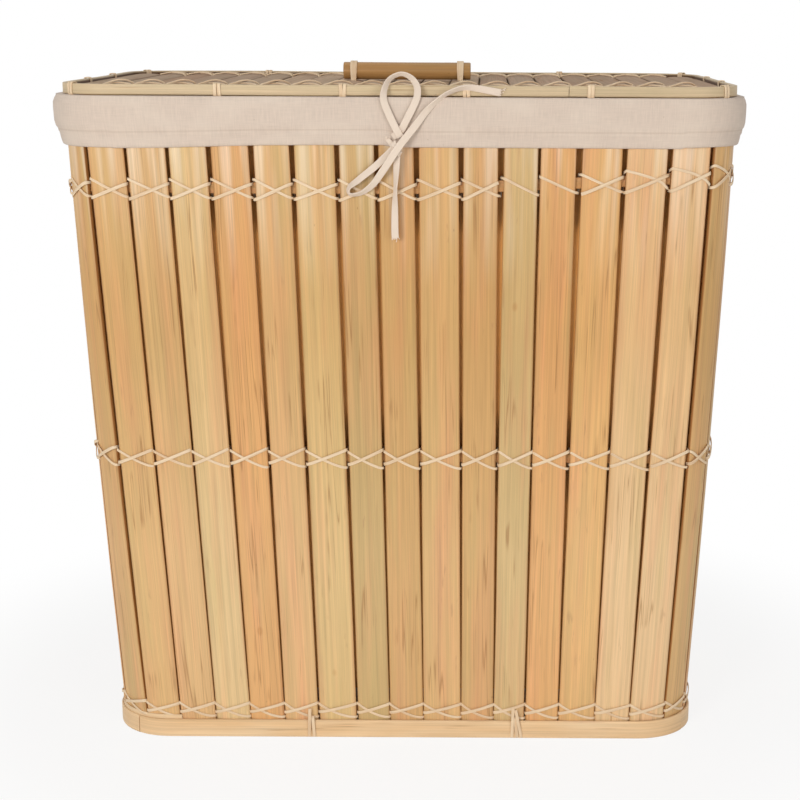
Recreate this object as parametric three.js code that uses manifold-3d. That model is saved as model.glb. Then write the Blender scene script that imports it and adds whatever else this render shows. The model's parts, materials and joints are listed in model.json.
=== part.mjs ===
// Laundry hamper with two bins: a slatted bamboo body, a lined rim and a lift-off lid.
// Millimetres, +Z up, origin on the ground under the middle, front facing -Y.

import * as THREE from 'three';
import Module from 'manifold-3d';

const wasm = await Module();
wasm.setup();

// Clearances
const seatGap = 0.3; // between pieces that touch
const innerSeatGap = 0.9; // between the straight rows of slats and the hoops they are laced to
const lidPlay = 1.5; // between the lid's locating hoop and the lining of the rim

// Slatted wall, measured over the outer faces of the slats
const wallHeight = 578;
const wallFootWidth = 528;
const wallFootDepth = 281;
const wallTopWidth = 575;
const wallTopDepth = 351;
const wallCornerRadius = 50;
const wallBow = 2; // how far each side swells at half height

// Bamboo slats
const slatThickness = 4;
const slatCrown = 1.8; // how far the edges lie behind the middle of a slat
const slatShoulder = 0.2; // how far the rounded shoulder lies behind the middle
const slatShoulderShare = 0.34;
const slatGap = 1.7; // between neighbours at their tightest
const slatFootHeight = 2;
const cornerSlatAngle = 35; // degrees of each corner that one slat covers
const footRailHeight = 10; // joins the slats of one group behind the base hoop
const footRailInset = 1.6; // from both faces of a slat to the rail between them
const frontSlatShares = [
  0.97, 1.02, 1, 0.99, 0.98, 1.11, 0.94, 0.97, 1.09, 0.94, 0.91, 0.97, 1.07, 1.03, 1.06,
];
const backSlatShares = [
  1.03, 0.96, 1.05, 0.98, 1.02, 0.93, 1.06, 1, 0.97, 1.04, 0.95, 1.02, 0.99, 1.05, 0.95,
];
const sideSlatShares = [1.02, 0.97, 1.03, 0.98, 1, 1.04, 0.96, 1];

// Base
const baseHoopHeight = 17;
const baseHoopThickness = 3;
const footHoopHeight = 10;
const footHoopThickness = 8;
const floorThickness = 4;

// Backing hoops, and the rattan lacing that ties the slats to them
const backingHeight = 9.6;
const backingThickness = 3.5;
const lowerRowGap = 0.9; // from the base to the lowest stitches
const middleRowHeight = 269;
const upperRowDrop = 73; // from the top of the wall to the middle of the upper row
const strandWidth = 2;
const strandThickness = 1;
const strandSpacing = 0.5; // from the edge of a short stitch to the long one round it

// Rim
const rimHoopHeight = 25;
const rimOuterThickness = 4.2;
const rimInnerThickness = 4.5;

// Cotton liner, its cuff over the rim and its divider
const clothThickness = 1.2;
const cuffThickness = 1.5;
const hemThickness = 2.1;
const cuffHeight = 40;
const cuffRounding = 1;
const cuffInnerDepth = 32;
const linerTopInset = 10; // from the top of the wall to the top edge of the bag
const dividerTopInset = 22;

// Drawstring of flat cotton tape
const tapeWidth = 6;
const tapeThickness = 1.2;
const tapeStep = 9;
const knotSize = new THREE.Vector3(13, 7, 12);

// Lid
const lidInset = 2; // from the outer face of the wall's top to the lid's hoop
const lidCornerRadius = 43;
const lidHoopHeight = 9.2;
const lidHoopThickness = 4.5;
const lidSlatCount = 21;
const lidSlatThickness = 3.2;
const lidSlatCrown = 0.9;
const lidSlatGap = 1.6;
const lidPanelDrop = 2.2; // from the top of the hoop to the top of the slats
const lidRailWidth = 12;
const lidRailHeight = 1.5;
const locatingHoopThickness = 6;
const locatingHoopDepth = 7; // reach below the underside of the lid hoop
const lidStripThickness = 3;
const lidRowInset = 43; // from the lid's edge to its rows of lacing
const lashingWidth = 7;
const lashingThickness = 0.9;
const lashingPlay = 0.5; // from a flat band to the hoop inside it
const lashingSpacing = 103;
const runningStrandHeight = 2.2;
const frontLashingCount = 4;
const sideLashingCount = 2;

// Handle
const handleLength = 117;
const handleDiameter = 16;
const handleBore = 6;
const handleTieInset = 9.5; // from an end of the cane to the middle of its tie
const handleTieWidth = 8;
const handleTieThickness = 1;

// Faceting
const cornerSteps = 8;
const roundSteps = 16;
const knotSteps = 10;

// Slats round the wall: faces in walking order, from the left end of the front
const faces = [
  { name: 'front', shares: frontSlatShares, long: true },
  { name: 'front_right_corner', shares: [1] },
  { name: 'right', shares: sideSlatShares },
  { name: 'back_right_corner', shares: [1] },
  { name: 'back', shares: backSlatShares, long: true },
  { name: 'back_left_corner', shares: [1] },
  { name: 'left', shares: sideSlatShares },
  { name: 'front_left_corner', shares: [1] },
];
const slatCount = faces.reduce((count, face) => count + face.shares.length, 0);

// Places that follow from the sizes above
const cornerGapAngle = (90 - cornerSlatAngle) / 2;
const shortStitch = backingHeight / 2 + seatGap + strandWidth / 2;
const longStitch = shortStitch + strandWidth + strandSpacing;
const floorBottom = footHoopHeight + seatGap;
const floorTop = floorBottom + floorThickness;
const lowerRowFoot = Math.max(baseHoopHeight, floorTop) + lowerRowGap;
const lowerRowHeight = lowerRowFoot + strandWidth / 2 + longStitch;
const upperRowHeight = wallHeight - upperRowDrop;
const slatHeights = [slatFootHeight, middleRowHeight, upperRowHeight, wallHeight];
const slatBack = Math.max(slatThickness + innerSeatGap, slatReach() + seatGap);
const backingBack = slatBack + backingThickness;
const rimBack = slatBack + rimInnerThickness;
const shortStrandBack = backingBack + seatGap + strandThickness / 2;
const longStrandBack = shortStrandBack + strandThickness + seatGap;
const rimFace = seatGap + rimOuterThickness;
const cuffFace = rimFace + seatGap + cuffThickness;
const cuffBack = rimBack + seatGap;
const bagBack = Math.max(longStrandBack + strandThickness / 2, cuffBack + clothThickness) + seatGap;
const longStrandFront = seatGap + strandThickness / 2;
const shortStrandFront = longStrandFront + strandThickness + seatGap;
const cuffTop = wallHeight + seatGap + cuffThickness;
const lashingSag = lashingWidth ** 2 / 8 / (lidCornerRadius - lidHoopThickness);
const lashingGap = Math.max(lashingPlay, seatGap + lashingSag);
const lidSeatHeight = cuffTop + seatGap + lashingThickness + lashingGap;
const rimBottom = wallHeight - rimHoopHeight;
const bagBottom = floorTop + seatGap;

// The outline of the wall's outer face at a height: a rounded rectangle
function wallAt(height) {
  const rise = height / wallHeight;
  const swell = wallBow * 4 * rise * (1 - rise);
  return {
    halfWidth: THREE.MathUtils.lerp(wallFootWidth, wallTopWidth, rise) / 2 + swell,
    halfDepth: THREE.MathUtils.lerp(wallFootDepth, wallTopDepth, rise) / 2 + swell,
    radius: wallCornerRadius,
  };
}

function offsetLoop(loop, offset) {
  return {
    halfWidth: loop.halfWidth + offset,
    halfDepth: loop.halfDepth + offset,
    radius: loop.radius + offset,
  };
}

// Place, outward direction and walking direction at a distance along a loop,
// counter-clockwise from the middle of its front
function pointOnLoop(loop, distance) {
  const straights = [loop.halfWidth - loop.radius, loop.halfDepth - loop.radius];
  const quarter = (loop.radius * Math.PI) / 2;
  const perimeter = 4 * (straights[0] + straights[1] + quarter);
  const outAt = (angle) => new THREE.Vector3(Math.cos(angle), Math.sin(angle), 0);
  const alongAt = (angle) => new THREE.Vector3(-Math.sin(angle), Math.cos(angle), 0);
  const position = new THREE.Vector3(0, -loop.halfDepth, 0);
  let angle = -Math.PI / 2;
  let left = THREE.MathUtils.euclideanModulo(distance, perimeter);
  let run = straights[0];
  for (let side = 1; left > run; side += 1) {
    const centre = position.addScaledVector(alongAt(angle), run).addScaledVector(outAt(angle), -loop.radius);
    left -= run;
    const turn = Math.min(left / loop.radius, Math.PI / 2);
    angle += turn;
    left -= turn * loop.radius;
    position.copy(centre).addScaledVector(outAt(angle), loop.radius);
    run = turn < Math.PI / 2 ? Infinity : 2 * straights[side % 2];
  }
  position.addScaledVector(alongAt(angle), left);
  return { position, out: outAt(angle), along: alongAt(angle) };
}

function loopOutline(loop, height) {
  const points = [];
  for (let corner = 0; corner < 4; corner += 1) {
    const signX = corner === 0 || corner === 3 ? 1 : -1;
    const signY = corner < 2 ? 1 : -1;
    for (let step = 0; step <= cornerSteps; step += 1) {
      const angle = ((corner + step / cornerSteps) * Math.PI) / 2;
      points.push(new THREE.Vector3(
        signX * (loop.halfWidth - loop.radius) + loop.radius * Math.cos(angle),
        signY * (loop.halfDepth - loop.radius) + loop.radius * Math.sin(angle),
        height,
      ));
    }
  }
  return points;
}

// How far a point stands outside a loop, negative inside it
function standOut(loop, point) {
  const overX = Math.abs(point.x) - (loop.halfWidth - loop.radius);
  const overY = Math.abs(point.y) - (loop.halfDepth - loop.radius);
  const outside = Math.hypot(Math.max(overX, 0), Math.max(overY, 0));
  return outside + Math.min(Math.max(overX, overY), 0) - loop.radius;
}

// A closed skin through rings of points: round and round, or with a cap on each end
function skin(rings, closed) {
  const size = rings[0].length;
  const positions = rings.flat().flatMap((point) => point.toArray());
  const indices = [];
  const spans = closed ? rings.length : rings.length - 1;
  for (let ring = 0; ring < spans; ring += 1) {
    const here = ring * size;
    const next = ((ring + 1) % rings.length) * size;
    for (let index = 0; index < size; index += 1) {
      const beside = (index + 1) % size;
      indices.push(here + index, here + beside, next + beside);
      indices.push(here + index, next + beside, next + index);
    }
  }
  if (!closed) {
    const last = (rings.length - 1) * size;
    for (let index = 1; index < size - 1; index += 1) {
      indices.push(0, index + 1, index);
      indices.push(last, last + index, last + index + 1);
    }
  }
  const geometry = new THREE.BufferGeometry();
  geometry.setAttribute('position', new THREE.Float32BufferAttribute(positions, 3));
  geometry.setIndex(signedVolume(positions, indices) < 0 ? indices.reverse() : indices);
  return geometry;
}

function signedVolume(positions, indices) {
  const corner = (index) => new THREE.Vector3().fromArray(positions, 3 * index);
  let volume = 0;
  for (let face = 0; face < indices.length; face += 3) {
    const [a, b, c] = indices.slice(face, face + 3).map(corner);
    volume += a.dot(b.cross(c)) / 6;
  }
  return volume;
}

// Joins and cuts
function toSolid(geometry) {
  const merged = new Map();
  const vertices = [];
  const places = geometry.getAttribute('position');
  const pick = (index) => {
    const key = [0, 1, 2].map((axis) => Math.fround(places.getComponent(index, axis)).toFixed(4)).join();
    if (!merged.has(key)) {
      merged.set(key, merged.size);
      vertices.push(places.getX(index), places.getY(index), places.getZ(index));
    }
    return merged.get(key);
  };
  const order = geometry.index ? [...geometry.index.array] : [...Array(places.count).keys()];
  const faces = order.map(pick);
  return new wasm.Manifold(new wasm.Mesh({
    numProp: 3,
    vertProperties: Float32Array.from(vertices),
    triVerts: Uint32Array.from(faces),
  }));
}

function toGeometry(solid) {
  const mesh = solid.getMesh();
  const geometry = new THREE.BufferGeometry();
  geometry.setAttribute('position', new THREE.BufferAttribute(mesh.vertProperties, 3));
  geometry.setIndex(new THREE.BufferAttribute(mesh.triVerts, 1));
  return geometry;
}

function join(geometries) {
  return toGeometry(geometries.map(toSolid).reduce((whole, piece) => whole.add(piece)));
}

function boxBetween(low, high) {
  const size = new THREE.Vector3().subVectors(high, low);
  const middle = new THREE.Vector3().addVectors(low, high).multiplyScalar(0.5);
  return new THREE.BoxGeometry(size.x, size.y, size.z).translate(middle.x, middle.y, middle.z);
}

// A band that follows loops, from its profile of [offset, height] points
function sweptBand(profile, loopAt) {
  return skin(profile.map(([offset, height]) => (
    loopOutline(offsetLoop(loopAt(height), offset), height)
  )), true);
}

function hoop(loopAt, outer, inner, bottom, top) {
  return sweptBand([[outer, bottom], [outer, top], [inner, top], [inner, bottom]], loopAt);
}

function faceLength(face, loop) {
  if (face.name.endsWith('corner')) {
    return loop.radius * THREE.MathUtils.degToRad(cornerSlatAngle);
  }
  const half = face.long ? loop.halfWidth : loop.halfDepth;
  return 2 * (half - loop.radius) + 2 * loop.radius * THREE.MathUtils.degToRad(cornerGapAngle);
}

// Distances of the gaps between slats along the wall at a height
function gapDistances(height) {
  const loop = wallAt(height);
  const distances = [-faceLength(faces[0], loop) / 2];
  for (const face of faces) {
    const total = face.shares.reduce((sum, share) => sum + share, 0);
    for (const share of face.shares) {
      distances.push(distances.at(-1) + (faceLength(face, loop) * share) / total);
    }
  }
  return distances;
}

// Place on the wall's outer face at a gap, or part of the way to the next one
function wallPlace(gap, height, offset = 0) {
  const distances = gapDistances(height);
  const index = THREE.MathUtils.euclideanModulo(Math.floor(gap), slatCount);
  const part = gap - Math.floor(gap);
  const distance = THREE.MathUtils.lerp(distances[index], distances[index + 1], part);
  const place = pointOnLoop(wallAt(height), distance);
  place.position.addScaledVector(place.out, offset).setZ(height);
  return place;
}

// Half the width of the widest flat slat that keeps its gap to both neighbours
function slatHalfWidth(slat) {
  const limits = [slatFootHeight, wallHeight].flatMap((height) => {
    const middle = wallPlace(slat + 0.5, height);
    return [0, 1].map((end) => {
      const gap = wallPlace(slat + end, height);
      const side = end === 0 ? -1 : 1;
      const reach = gap.position.clone().sub(middle.position).dot(gap.along) * side;
      const turn = middle.out.dot(gap.along) * side * slatThickness;
      return (reach + turn - slatGap / 2) / middle.along.dot(gap.along);
    });
  });
  return Math.min(...limits);
}

function slatRing(slat, height, half) {
  const place = wallPlace(slat + 0.5, height);
  const shoulder = half * slatShoulderShare;
  const profile = [
    [-half, -slatThickness],
    [half, -slatThickness],
    [half, -slatCrown],
    [shoulder, -slatShoulder],
    [-shoulder, -slatShoulder],
    [-half, -slatCrown],
  ];
  const points = profile.map(([along, out]) => place.position.clone()
    .addScaledVector(place.along, along)
    .addScaledVector(place.out, out));
  const proud = Math.max(0, ...points.map((point) => standOut(wallAt(height), point)));
  return points.map((point) => point.addScaledVector(place.out, -proud));
}

function slatGeometry(slat) {
  const half = slatHalfWidth(slat);
  return skin(slatHeights.map((height) => slatRing(slat, height, half)), false);
}

// How far the flat backs of the slats reach behind the wall's outer face, the most at the corners
function slatReach() {
  const parts = [0, 0.25, 0.5, 0.75, 1];
  const depths = [...Array(slatCount).keys()].flatMap((slat) => {
    const half = slatHalfWidth(slat);
    return slatHeights.flatMap((height) => {
      const [left, right] = slatRing(slat, height, half);
      return parts.map((part) => -standOut(wallAt(height), left.clone().lerp(right, part)));
    });
  });
  return Math.max(...depths);
}

// The rail between the middles of two neighbouring slats, low down behind the base hoop
function footRail(slat) {
  const corners = [
    [-footRailInset, slatFootHeight],
    [-footRailInset, footRailHeight],
    [footRailInset - slatThickness, footRailHeight],
    [footRailInset - slatThickness, slatFootHeight],
  ];
  return skin([0.5, 1.5].map((part) => corners.map(([offset, height]) => (
    wallPlace(slat + part, height, offset).position
  ))), false);
}

function slatGroup(first, count) {
  const slats = Array.from({ length: count }, (_, index) => slatGeometry(first + index));
  const rails = Array.from({ length: count - 1 }, (_, index) => footRail(first + index));
  return join([...slats, ...rails]);
}

// Rattan strand of triangular section that runs over each slat from one level to another
// and back behind its backing
function lacingStrand(place, first, count, from, to, front, back) {
  const half = strandThickness / 2;
  const side = strandWidth / 2;
  const climb = Math.sign(from - to);
  const rings = [];
  let face = 1;
  const addRing = (spot, thickOut, thickAlong, wideUp, wideOut) => {
    const up = spot.out.clone().cross(spot.along);
    const thick = spot.out.clone().multiplyScalar(thickOut).addScaledVector(spot.along, thickAlong);
    const wide = up.multiplyScalar(wideUp).addScaledVector(spot.out, wideOut);
    rings.push([[1, 0], [-1, 1], [-1, -1]].map(([a, b]) => spot.position.clone()
      .addScaledVector(thick, a * face)
      .addScaledVector(wide, b * face)));
  };
  for (let step = 0; step < count; step += 1) {
    const gap = first + step;
    const start = place(gap, from, front);
    addRing(start, half, -half, side, 0);
    const end = place(gap + 1, to, front);
    if (start.out.angleTo(end.out) > 0) {
      for (const part of [0.25, 0.5, 0.75]) {
        addRing(place(gap + part, THREE.MathUtils.lerp(from, to, part), front), half, 0, side, 0);
      }
    }
    addRing(end, half, half, side, 0);
    if (step < count - 1) {
      addRing(place(gap + 1, to, back), 0, half, side, climb * half);
      addRing(place(gap + 1, from, back), 0, half, -side, climb * half);
      face = -face;
    }
  }
  return skin(rings, false);
}

// A strand round the whole wall, with its two ends at the first gap of the back
function wallLacing(rowHeight, long) {
  const place = (gap, level, offset) => wallPlace(gap, rowHeight + level, offset);
  const start = faces.slice(0, 4).reduce((count, face) => count + face.shares.length, 0);
  if (long) {
    return lacingStrand(place, start, slatCount, longStitch, -longStitch, longStrandFront, -longStrandBack);
  }
  return lacingStrand(place, start, slatCount, -shortStitch, shortStitch, shortStrandFront, -shortStrandBack);
}

function backingHoop(rowHeight) {
  const half = backingHeight / 2;
  return hoop(wallAt, -slatBack, -backingBack, rowHeight - half, rowHeight + half);
}

// Base
function floorPanel() {
  return skin([floorBottom, floorTop].map((height) => (
    loopOutline(offsetLoop(wallAt(height), -slatBack), height)
  )), false);
}

// Cotton liner: an open bag, a cuff turned over the rim and a divider between the bins
function linerBag() {
  const bagTop = wallHeight - linerTopInset;
  const inside = -bagBack - clothThickness;
  const profile = [
    [-bagBack, bagBottom],
    [-bagBack, middleRowHeight],
    [-bagBack, bagTop],
    [inside, bagTop],
    [inside, middleRowHeight],
    [inside, bagBottom + clothThickness],
  ];
  return skin(profile.map(([offset, height]) => (
    loopOutline(offsetLoop(wallAt(height), offset), height)
  )), false);
}

function linerCuff() {
  const inside = -cuffBack;
  const hem = seatGap + hemThickness;
  const hemBottom = cuffTop - cuffHeight;
  const innerEnd = wallHeight - cuffInnerDepth;
  const overRim = wallHeight + seatGap;
  const profile = [
    [seatGap, hemBottom],
    [hem, hemBottom],
    [hem, rimBottom - 2 * (seatGap + cuffThickness)],
    [cuffFace, rimBottom - seatGap],
    [cuffFace, cuffTop - cuffRounding],
    [cuffFace - cuffRounding, cuffTop],
    [inside - clothThickness + cuffRounding, cuffTop],
    [inside - clothThickness, cuffTop - cuffRounding],
    [inside - clothThickness, innerEnd],
    [inside, innerEnd],
    [inside, overRim],
    [rimFace + seatGap, overRim],
    [rimFace + seatGap, rimBottom - seatGap],
    [seatGap, rimBottom - 2 * seatGap - cuffThickness],
  ];
  return sweptBand(profile, wallAt);
}

function linerDivider() {
  const bottom = bagBottom + clothThickness + seatGap;
  const top = wallHeight - dividerTopInset;
  const edgeInset = bagBack + clothThickness + seatGap;
  const edge = [bottom, middleRowHeight, top].map((height) => [wallAt(height).halfDepth - edgeInset, height]);
  const outline = new THREE.Shape([...edge, ...edge.map(([depth, height]) => [-depth, height]).reverse()]
    .map(([depth, height]) => new THREE.Vector2(depth, height)));
  return new THREE.ExtrudeGeometry(outline, { depth: clothThickness, bevelEnabled: false })
    .translate(0, 0, -clothThickness / 2)
    .rotateX(Math.PI / 2)
    .rotateZ(Math.PI / 2);
}

// Drawstring tied in a bow on the front of the cuff: places along the middle of the tape,
// each across from the middle, out from the face of the cuff and up from the top of the wall
const knotPlace = [-1, 0.6, -37];
const upperLoopRoute = [
  [2.4, 2, -29],
  [-1.4, 2.7, -22],
  [-6.9, 2.6, -10.4],
  [-11, 2, 0],
  [-10.8, -1.4, 9],
  [-6.4, -5.6, 17.6],
  [2.5, -6.6, 21.8],
  [10.6, -6.2, 19],
  [15.8, -3.8, 12.4],
  [16.3, 0.6, 4],
  [13.1, 2.3, -4.1],
  [7.7, 2.5, -14.6],
  [2.2, 1.1, -24.6],
  [-4.2, 0.2, -29],
];
const longBowRoute = [
  [-9.8, -1, -45],
  [-18.6, -1.8, -53.4],
  [-33.6, -2.4, -65.4],
  [-41.2, -2.4, -71.6],
  [-40.2, -2.2, -77.2],
  [-31, -2.1, -76],
  [-21, -1.5, -68.6],
  [-13.4, 1.4, -58.4],
  [-6.4, 4.7, -48],
  [-0.4, 5.3, -39],
  [5.6, 4.9, -31],
  [13.9, 3.8, -20.8],
  [22.5, 2.6, -9.4],
  [30.9, 1.8, -1],
  [40.2, -1, 6],
  [50.8, -4.2, 10.3],
  [59.6, -6, 11],
  [71.8, -6.6, 9.2],
  [84.4, -6.6, 6.9],
];
const hangingTailRoute = [
  [-0.8, 0.7, -42.8],
  [-1, 1.1, -52],
  [-1.7, 0.5, -63.6],
  [-2.4, -0.2, -74.2],
  [-2.8, -0.4, -90.3],
  [-2.9, 0.5, -106.6],
  [-2.6, 0.8, -113],
];

function bowPlace([across, out, rise]) {
  const wallFace = wallAt(wallHeight + Math.min(rise, 0)).halfDepth;
  return new THREE.Vector3(across, -wallFace - cuffFace - out, wallHeight + rise);
}

function tape(route) {
  const curve = new THREE.CatmullRomCurve3(route.map(bowPlace));
  const bevelShare = 0.7;
  const edge = (tapeWidth / 2) * bevelShare;
  const face = (tapeThickness / 2) * bevelShare;
  const section = new THREE.Shape([
    new THREE.Vector2(tapeThickness / 2, edge),
    new THREE.Vector2(face, tapeWidth / 2),
    new THREE.Vector2(-face, tapeWidth / 2),
    new THREE.Vector2(-tapeThickness / 2, edge),
    new THREE.Vector2(-tapeThickness / 2, -edge),
    new THREE.Vector2(-face, -tapeWidth / 2),
    new THREE.Vector2(face, -tapeWidth / 2),
    new THREE.Vector2(tapeThickness / 2, -edge),
  ]);
  return new THREE.ExtrudeGeometry(section, {
    extrudePath: curve,
    steps: Math.round(curve.getLength() / tapeStep),
    bevelEnabled: false,
  });
}

function drawstringKnot() {
  const middle = bowPlace(knotPlace);
  return new THREE.SphereGeometry(1, knotSteps, knotSteps / 2)
    .scale(knotSize.x / 2, knotSize.y / 2, knotSize.z / 2)
    .translate(middle.x, middle.y, middle.z);
}

// Lid, in its own frame with height zero at the underside of its outer hoop
const lidLoop = { ...offsetLoop(wallAt(wallHeight), -lidInset), radius: lidCornerRadius };
const lashingBack = lidHoopThickness + lashingGap + lashingThickness;
const panelLoop = offsetLoop(lidLoop, -(lashingBack + seatGap));
const panelTop = lidHoopHeight - lidPanelDrop;
const panelBottom = panelTop - lidSlatThickness;
const stripTop = panelBottom - seatGap;
const stripBottom = stripTop - lidStripThickness;
const locatingLoop = offsetLoop(wallAt(wallHeight), -(bagBack + clothThickness + lidPlay));
const lidSlatPitch = (2 * panelLoop.halfWidth) / lidSlatCount;
const lidRowDepth = lidLoop.halfDepth - lidRowInset;
const handleAxisHeight = panelTop + seatGap + handleDiameter / 2;

function locatingFrame() {
  const ring = hoop(() => locatingLoop, 0, -locatingHoopThickness, -locatingHoopDepth, stripTop);
  const reach = locatingLoop.halfWidth - locatingHoopThickness / 2;
  const strip = (depth, halfBreadth) => boxBetween(
    new THREE.Vector3(-reach, depth - halfBreadth, stripBottom),
    new THREE.Vector3(reach, depth + halfBreadth, stripTop),
  );
  return join([
    ring,
    strip(-lidRowDepth, backingHeight / 2),
    strip(lidRowDepth, backingHeight / 2),
    strip(0, handleDiameter / 2),
  ]);
}

function lidSlat(index) {
  const middle = (index + 0.5) * lidSlatPitch - panelLoop.halfWidth;
  const half = (lidSlatPitch - lidSlatGap) / 2;
  const profile = [
    [-half, panelBottom],
    [half, panelBottom],
    [half, panelTop - lidSlatCrown],
    [half * slatShoulderShare, panelTop],
    [-half * slatShoulderShare, panelTop],
    [-half, panelTop - lidSlatCrown],
  ];
  return skin([-panelLoop.halfDepth, panelLoop.halfDepth].map((depth) => (
    profile.map(([across, height]) => new THREE.Vector3(middle + across, depth, height))
  )), false);
}

function lidPanel() {
  const slats = Array.from({ length: lidSlatCount }, (_, index) => lidSlat(index));
  const rails = [-1, 1].map((end) => {
    const depths = [panelLoop.halfDepth - lidRailWidth, panelLoop.halfDepth].map((depth) => end * depth);
    return boxBetween(
      new THREE.Vector3(-panelLoop.halfWidth, Math.min(...depths), panelBottom),
      new THREE.Vector3(panelLoop.halfWidth, Math.max(...depths), panelBottom + lidRailHeight),
    );
  });
  const outline = skin([-lidHoopHeight, 2 * lidHoopHeight].map((height) => (
    loopOutline(panelLoop, height)
  )), false);
  const slots = handleTies().map((tie) => boxBetween(
    new THREE.Vector3(tie.middle - handleTieWidth / 2 - seatGap, -tieReach - seatGap, -lidHoopHeight),
    new THREE.Vector3(tie.middle + handleTieWidth / 2 + seatGap, tieReach + seatGap, lidHoopHeight),
  )).map((block) => toSolid(block).subtract(toSolid(boxBetween(
    new THREE.Vector3(-lidLoop.halfWidth, -handleDiameter / 2, -lidHoopHeight),
    new THREE.Vector3(lidLoop.halfWidth, handleDiameter / 2, lidHoopHeight),
  ))));
  const whole = toSolid(join([...slats, ...rails])).intersect(toSolid(outline));
  return toGeometry(slots.reduce((panel, slot) => panel.subtract(slot), whole));
}

function lidLacing(depth) {
  const place = (gap, level, offset) => ({
    position: new THREE.Vector3(gap * lidSlatPitch - panelLoop.halfWidth, depth + level, panelTop + offset),
    out: new THREE.Vector3(0, 0, 1),
    along: new THREE.Vector3(1, 0, 0),
  });
  const back = stripBottom - seatGap - strandThickness / 2 - panelTop;
  return lacingStrand(place, 1, lidSlatCount - 2, shortStitch, -shortStitch, longStrandFront, back);
}

// A flat band round the lid hoop, at a distance along it
function lashing(distance) {
  const place = pointOnLoop(lidLoop, distance);
  const rectangle = (grow) => [
    [grow, -grow],
    [grow, lidHoopHeight + grow],
    [-lidHoopThickness - grow, lidHoopHeight + grow],
    [-lidHoopThickness - grow, -grow],
  ].map(([across, height]) => new THREE.Vector2(across, height));
  const band = new THREE.Shape(rectangle(lashingGap + lashingThickness));
  band.holes.push(new THREE.Path(rectangle(lashingGap).reverse()));
  const frame = new THREE.Matrix4().makeBasis(
    place.out,
    new THREE.Vector3(0, 0, 1),
    place.along.clone().negate(),
  ).setPosition(place.position);
  return new THREE.ExtrudeGeometry(band, { depth: lashingWidth, bevelEnabled: false })
    .translate(0, 0, -lashingWidth / 2)
    .applyMatrix4(frame);
}

function lidLashings() {
  const quarterArc = (lidLoop.radius * Math.PI) / 2;
  const sideMiddle = lidLoop.halfWidth + lidLoop.halfDepth - 2 * lidLoop.radius + quarterArc;
  const cornerMiddle = lidLoop.halfWidth - lidLoop.radius + quarterArc / 2;
  const row = (middle, count) => Array.from({ length: count }, (_, index) => (
    middle + (index - (count - 1) / 2) * lashingSpacing
  ));
  const distances = [
    ...row(0, frontLashingCount),
    ...row(sideMiddle, sideLashingCount),
    ...row(2 * sideMiddle, frontLashingCount),
    ...row(-sideMiddle, sideLashingCount),
    cornerMiddle,
    -cornerMiddle,
    2 * sideMiddle - cornerMiddle,
    2 * sideMiddle + cornerMiddle,
  ];
  const running = hoop(() => lidLoop, -lidHoopThickness - lashingGap, -lashingBack, 0, runningStrandHeight);
  return join([running, ...distances.map(lashing)]);
}

// Handle: a short bamboo cane tied down through the lid
function lidHandle() {
  const outer = handleDiameter / 2;
  const bore = handleBore / 2;
  const end = handleLength / 2;
  const profile = [[bore, -end], [outer, -end], [outer, end], [bore, end], [bore, -end]]
    .map(([radius, along]) => new THREE.Vector2(radius, along));
  return new THREE.LatheGeometry(profile, roundSteps)
    .rotateZ(-Math.PI / 2)
    .translate(0, 0, handleAxisHeight);
}

const tieReach = handleDiameter / 2 + seatGap + handleTieThickness;

function handleTies() {
  const outline = (radius, bottom) => {
    const points = [];
    for (let step = 0; step <= roundSteps / 2; step += 1) {
      const angle = (step / (roundSteps / 2)) * Math.PI;
      points.push(new THREE.Vector2(radius * Math.cos(angle), handleAxisHeight + radius * Math.sin(angle)));
    }
    return [...points, new THREE.Vector2(-radius, bottom), new THREE.Vector2(radius, bottom)];
  };
  const inner = tieReach - handleTieThickness;
  const band = new THREE.Shape(outline(tieReach, stripBottom - seatGap - handleTieThickness));
  band.holes.push(new THREE.Path(outline(inner, stripBottom - seatGap).reverse()));
  return [-1, 1].map((side) => {
    const middle = side * (handleLength / 2 - handleTieInset);
    const geometry = new THREE.ExtrudeGeometry(band, { depth: handleTieWidth, bevelEnabled: false })
      .translate(0, 0, -handleTieWidth / 2)
      .rotateX(Math.PI / 2)
      .rotateZ(Math.PI / 2)
      .translate(middle, 0, 0);
    return { middle, geometry };
  });
}

// Finishes
const slatColours = [
  '#d9b079', '#dcae6c', '#dba878', '#e2c590', '#e0a36c', '#dcb676', '#e3cf9c', '#c9b987',
  '#d6a873', '#dfae82', '#d3bd84', '#cfc08c', '#dd9c66', '#dca664', '#e2c79a', '#e6bc93',
];
const finish = {
  hoop: new THREE.MeshStandardMaterial({ color: '#dcb980', roughness: 0.55, metalness: 0 }),
  backing: new THREE.MeshStandardMaterial({ color: '#cf9a5e', roughness: 0.6, metalness: 0 }),
  rattan: new THREE.MeshStandardMaterial({ color: '#ecd2a4', roughness: 0.6, metalness: 0 }),
  cotton: new THREE.MeshStandardMaterial({ color: '#d9c8b6', roughness: 0.95, metalness: 0 }),
  plywood: new THREE.MeshStandardMaterial({ color: '#d8bd8f', roughness: 0.7, metalness: 0 }),
  cane: new THREE.MeshStandardMaterial({ color: '#a5844f', roughness: 0.45, metalness: 0 }),
};

function slatFinish(slat) {
  return new THREE.MeshStandardMaterial({
    color: slatColours[slat % slatColours.length],
    roughness: 0.5,
    metalness: 0,
  });
}

function piece(parent, name, geometry, material) {
  const mesh = new THREE.Mesh(geometry, material);
  mesh.name = name;
  parent.add(mesh);
}

const hamper = new THREE.Group();
const body = new THREE.Group();
const lid = new THREE.Group();
lid.position.z = lidSeatHeight;
hamper.add(body, lid);

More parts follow.
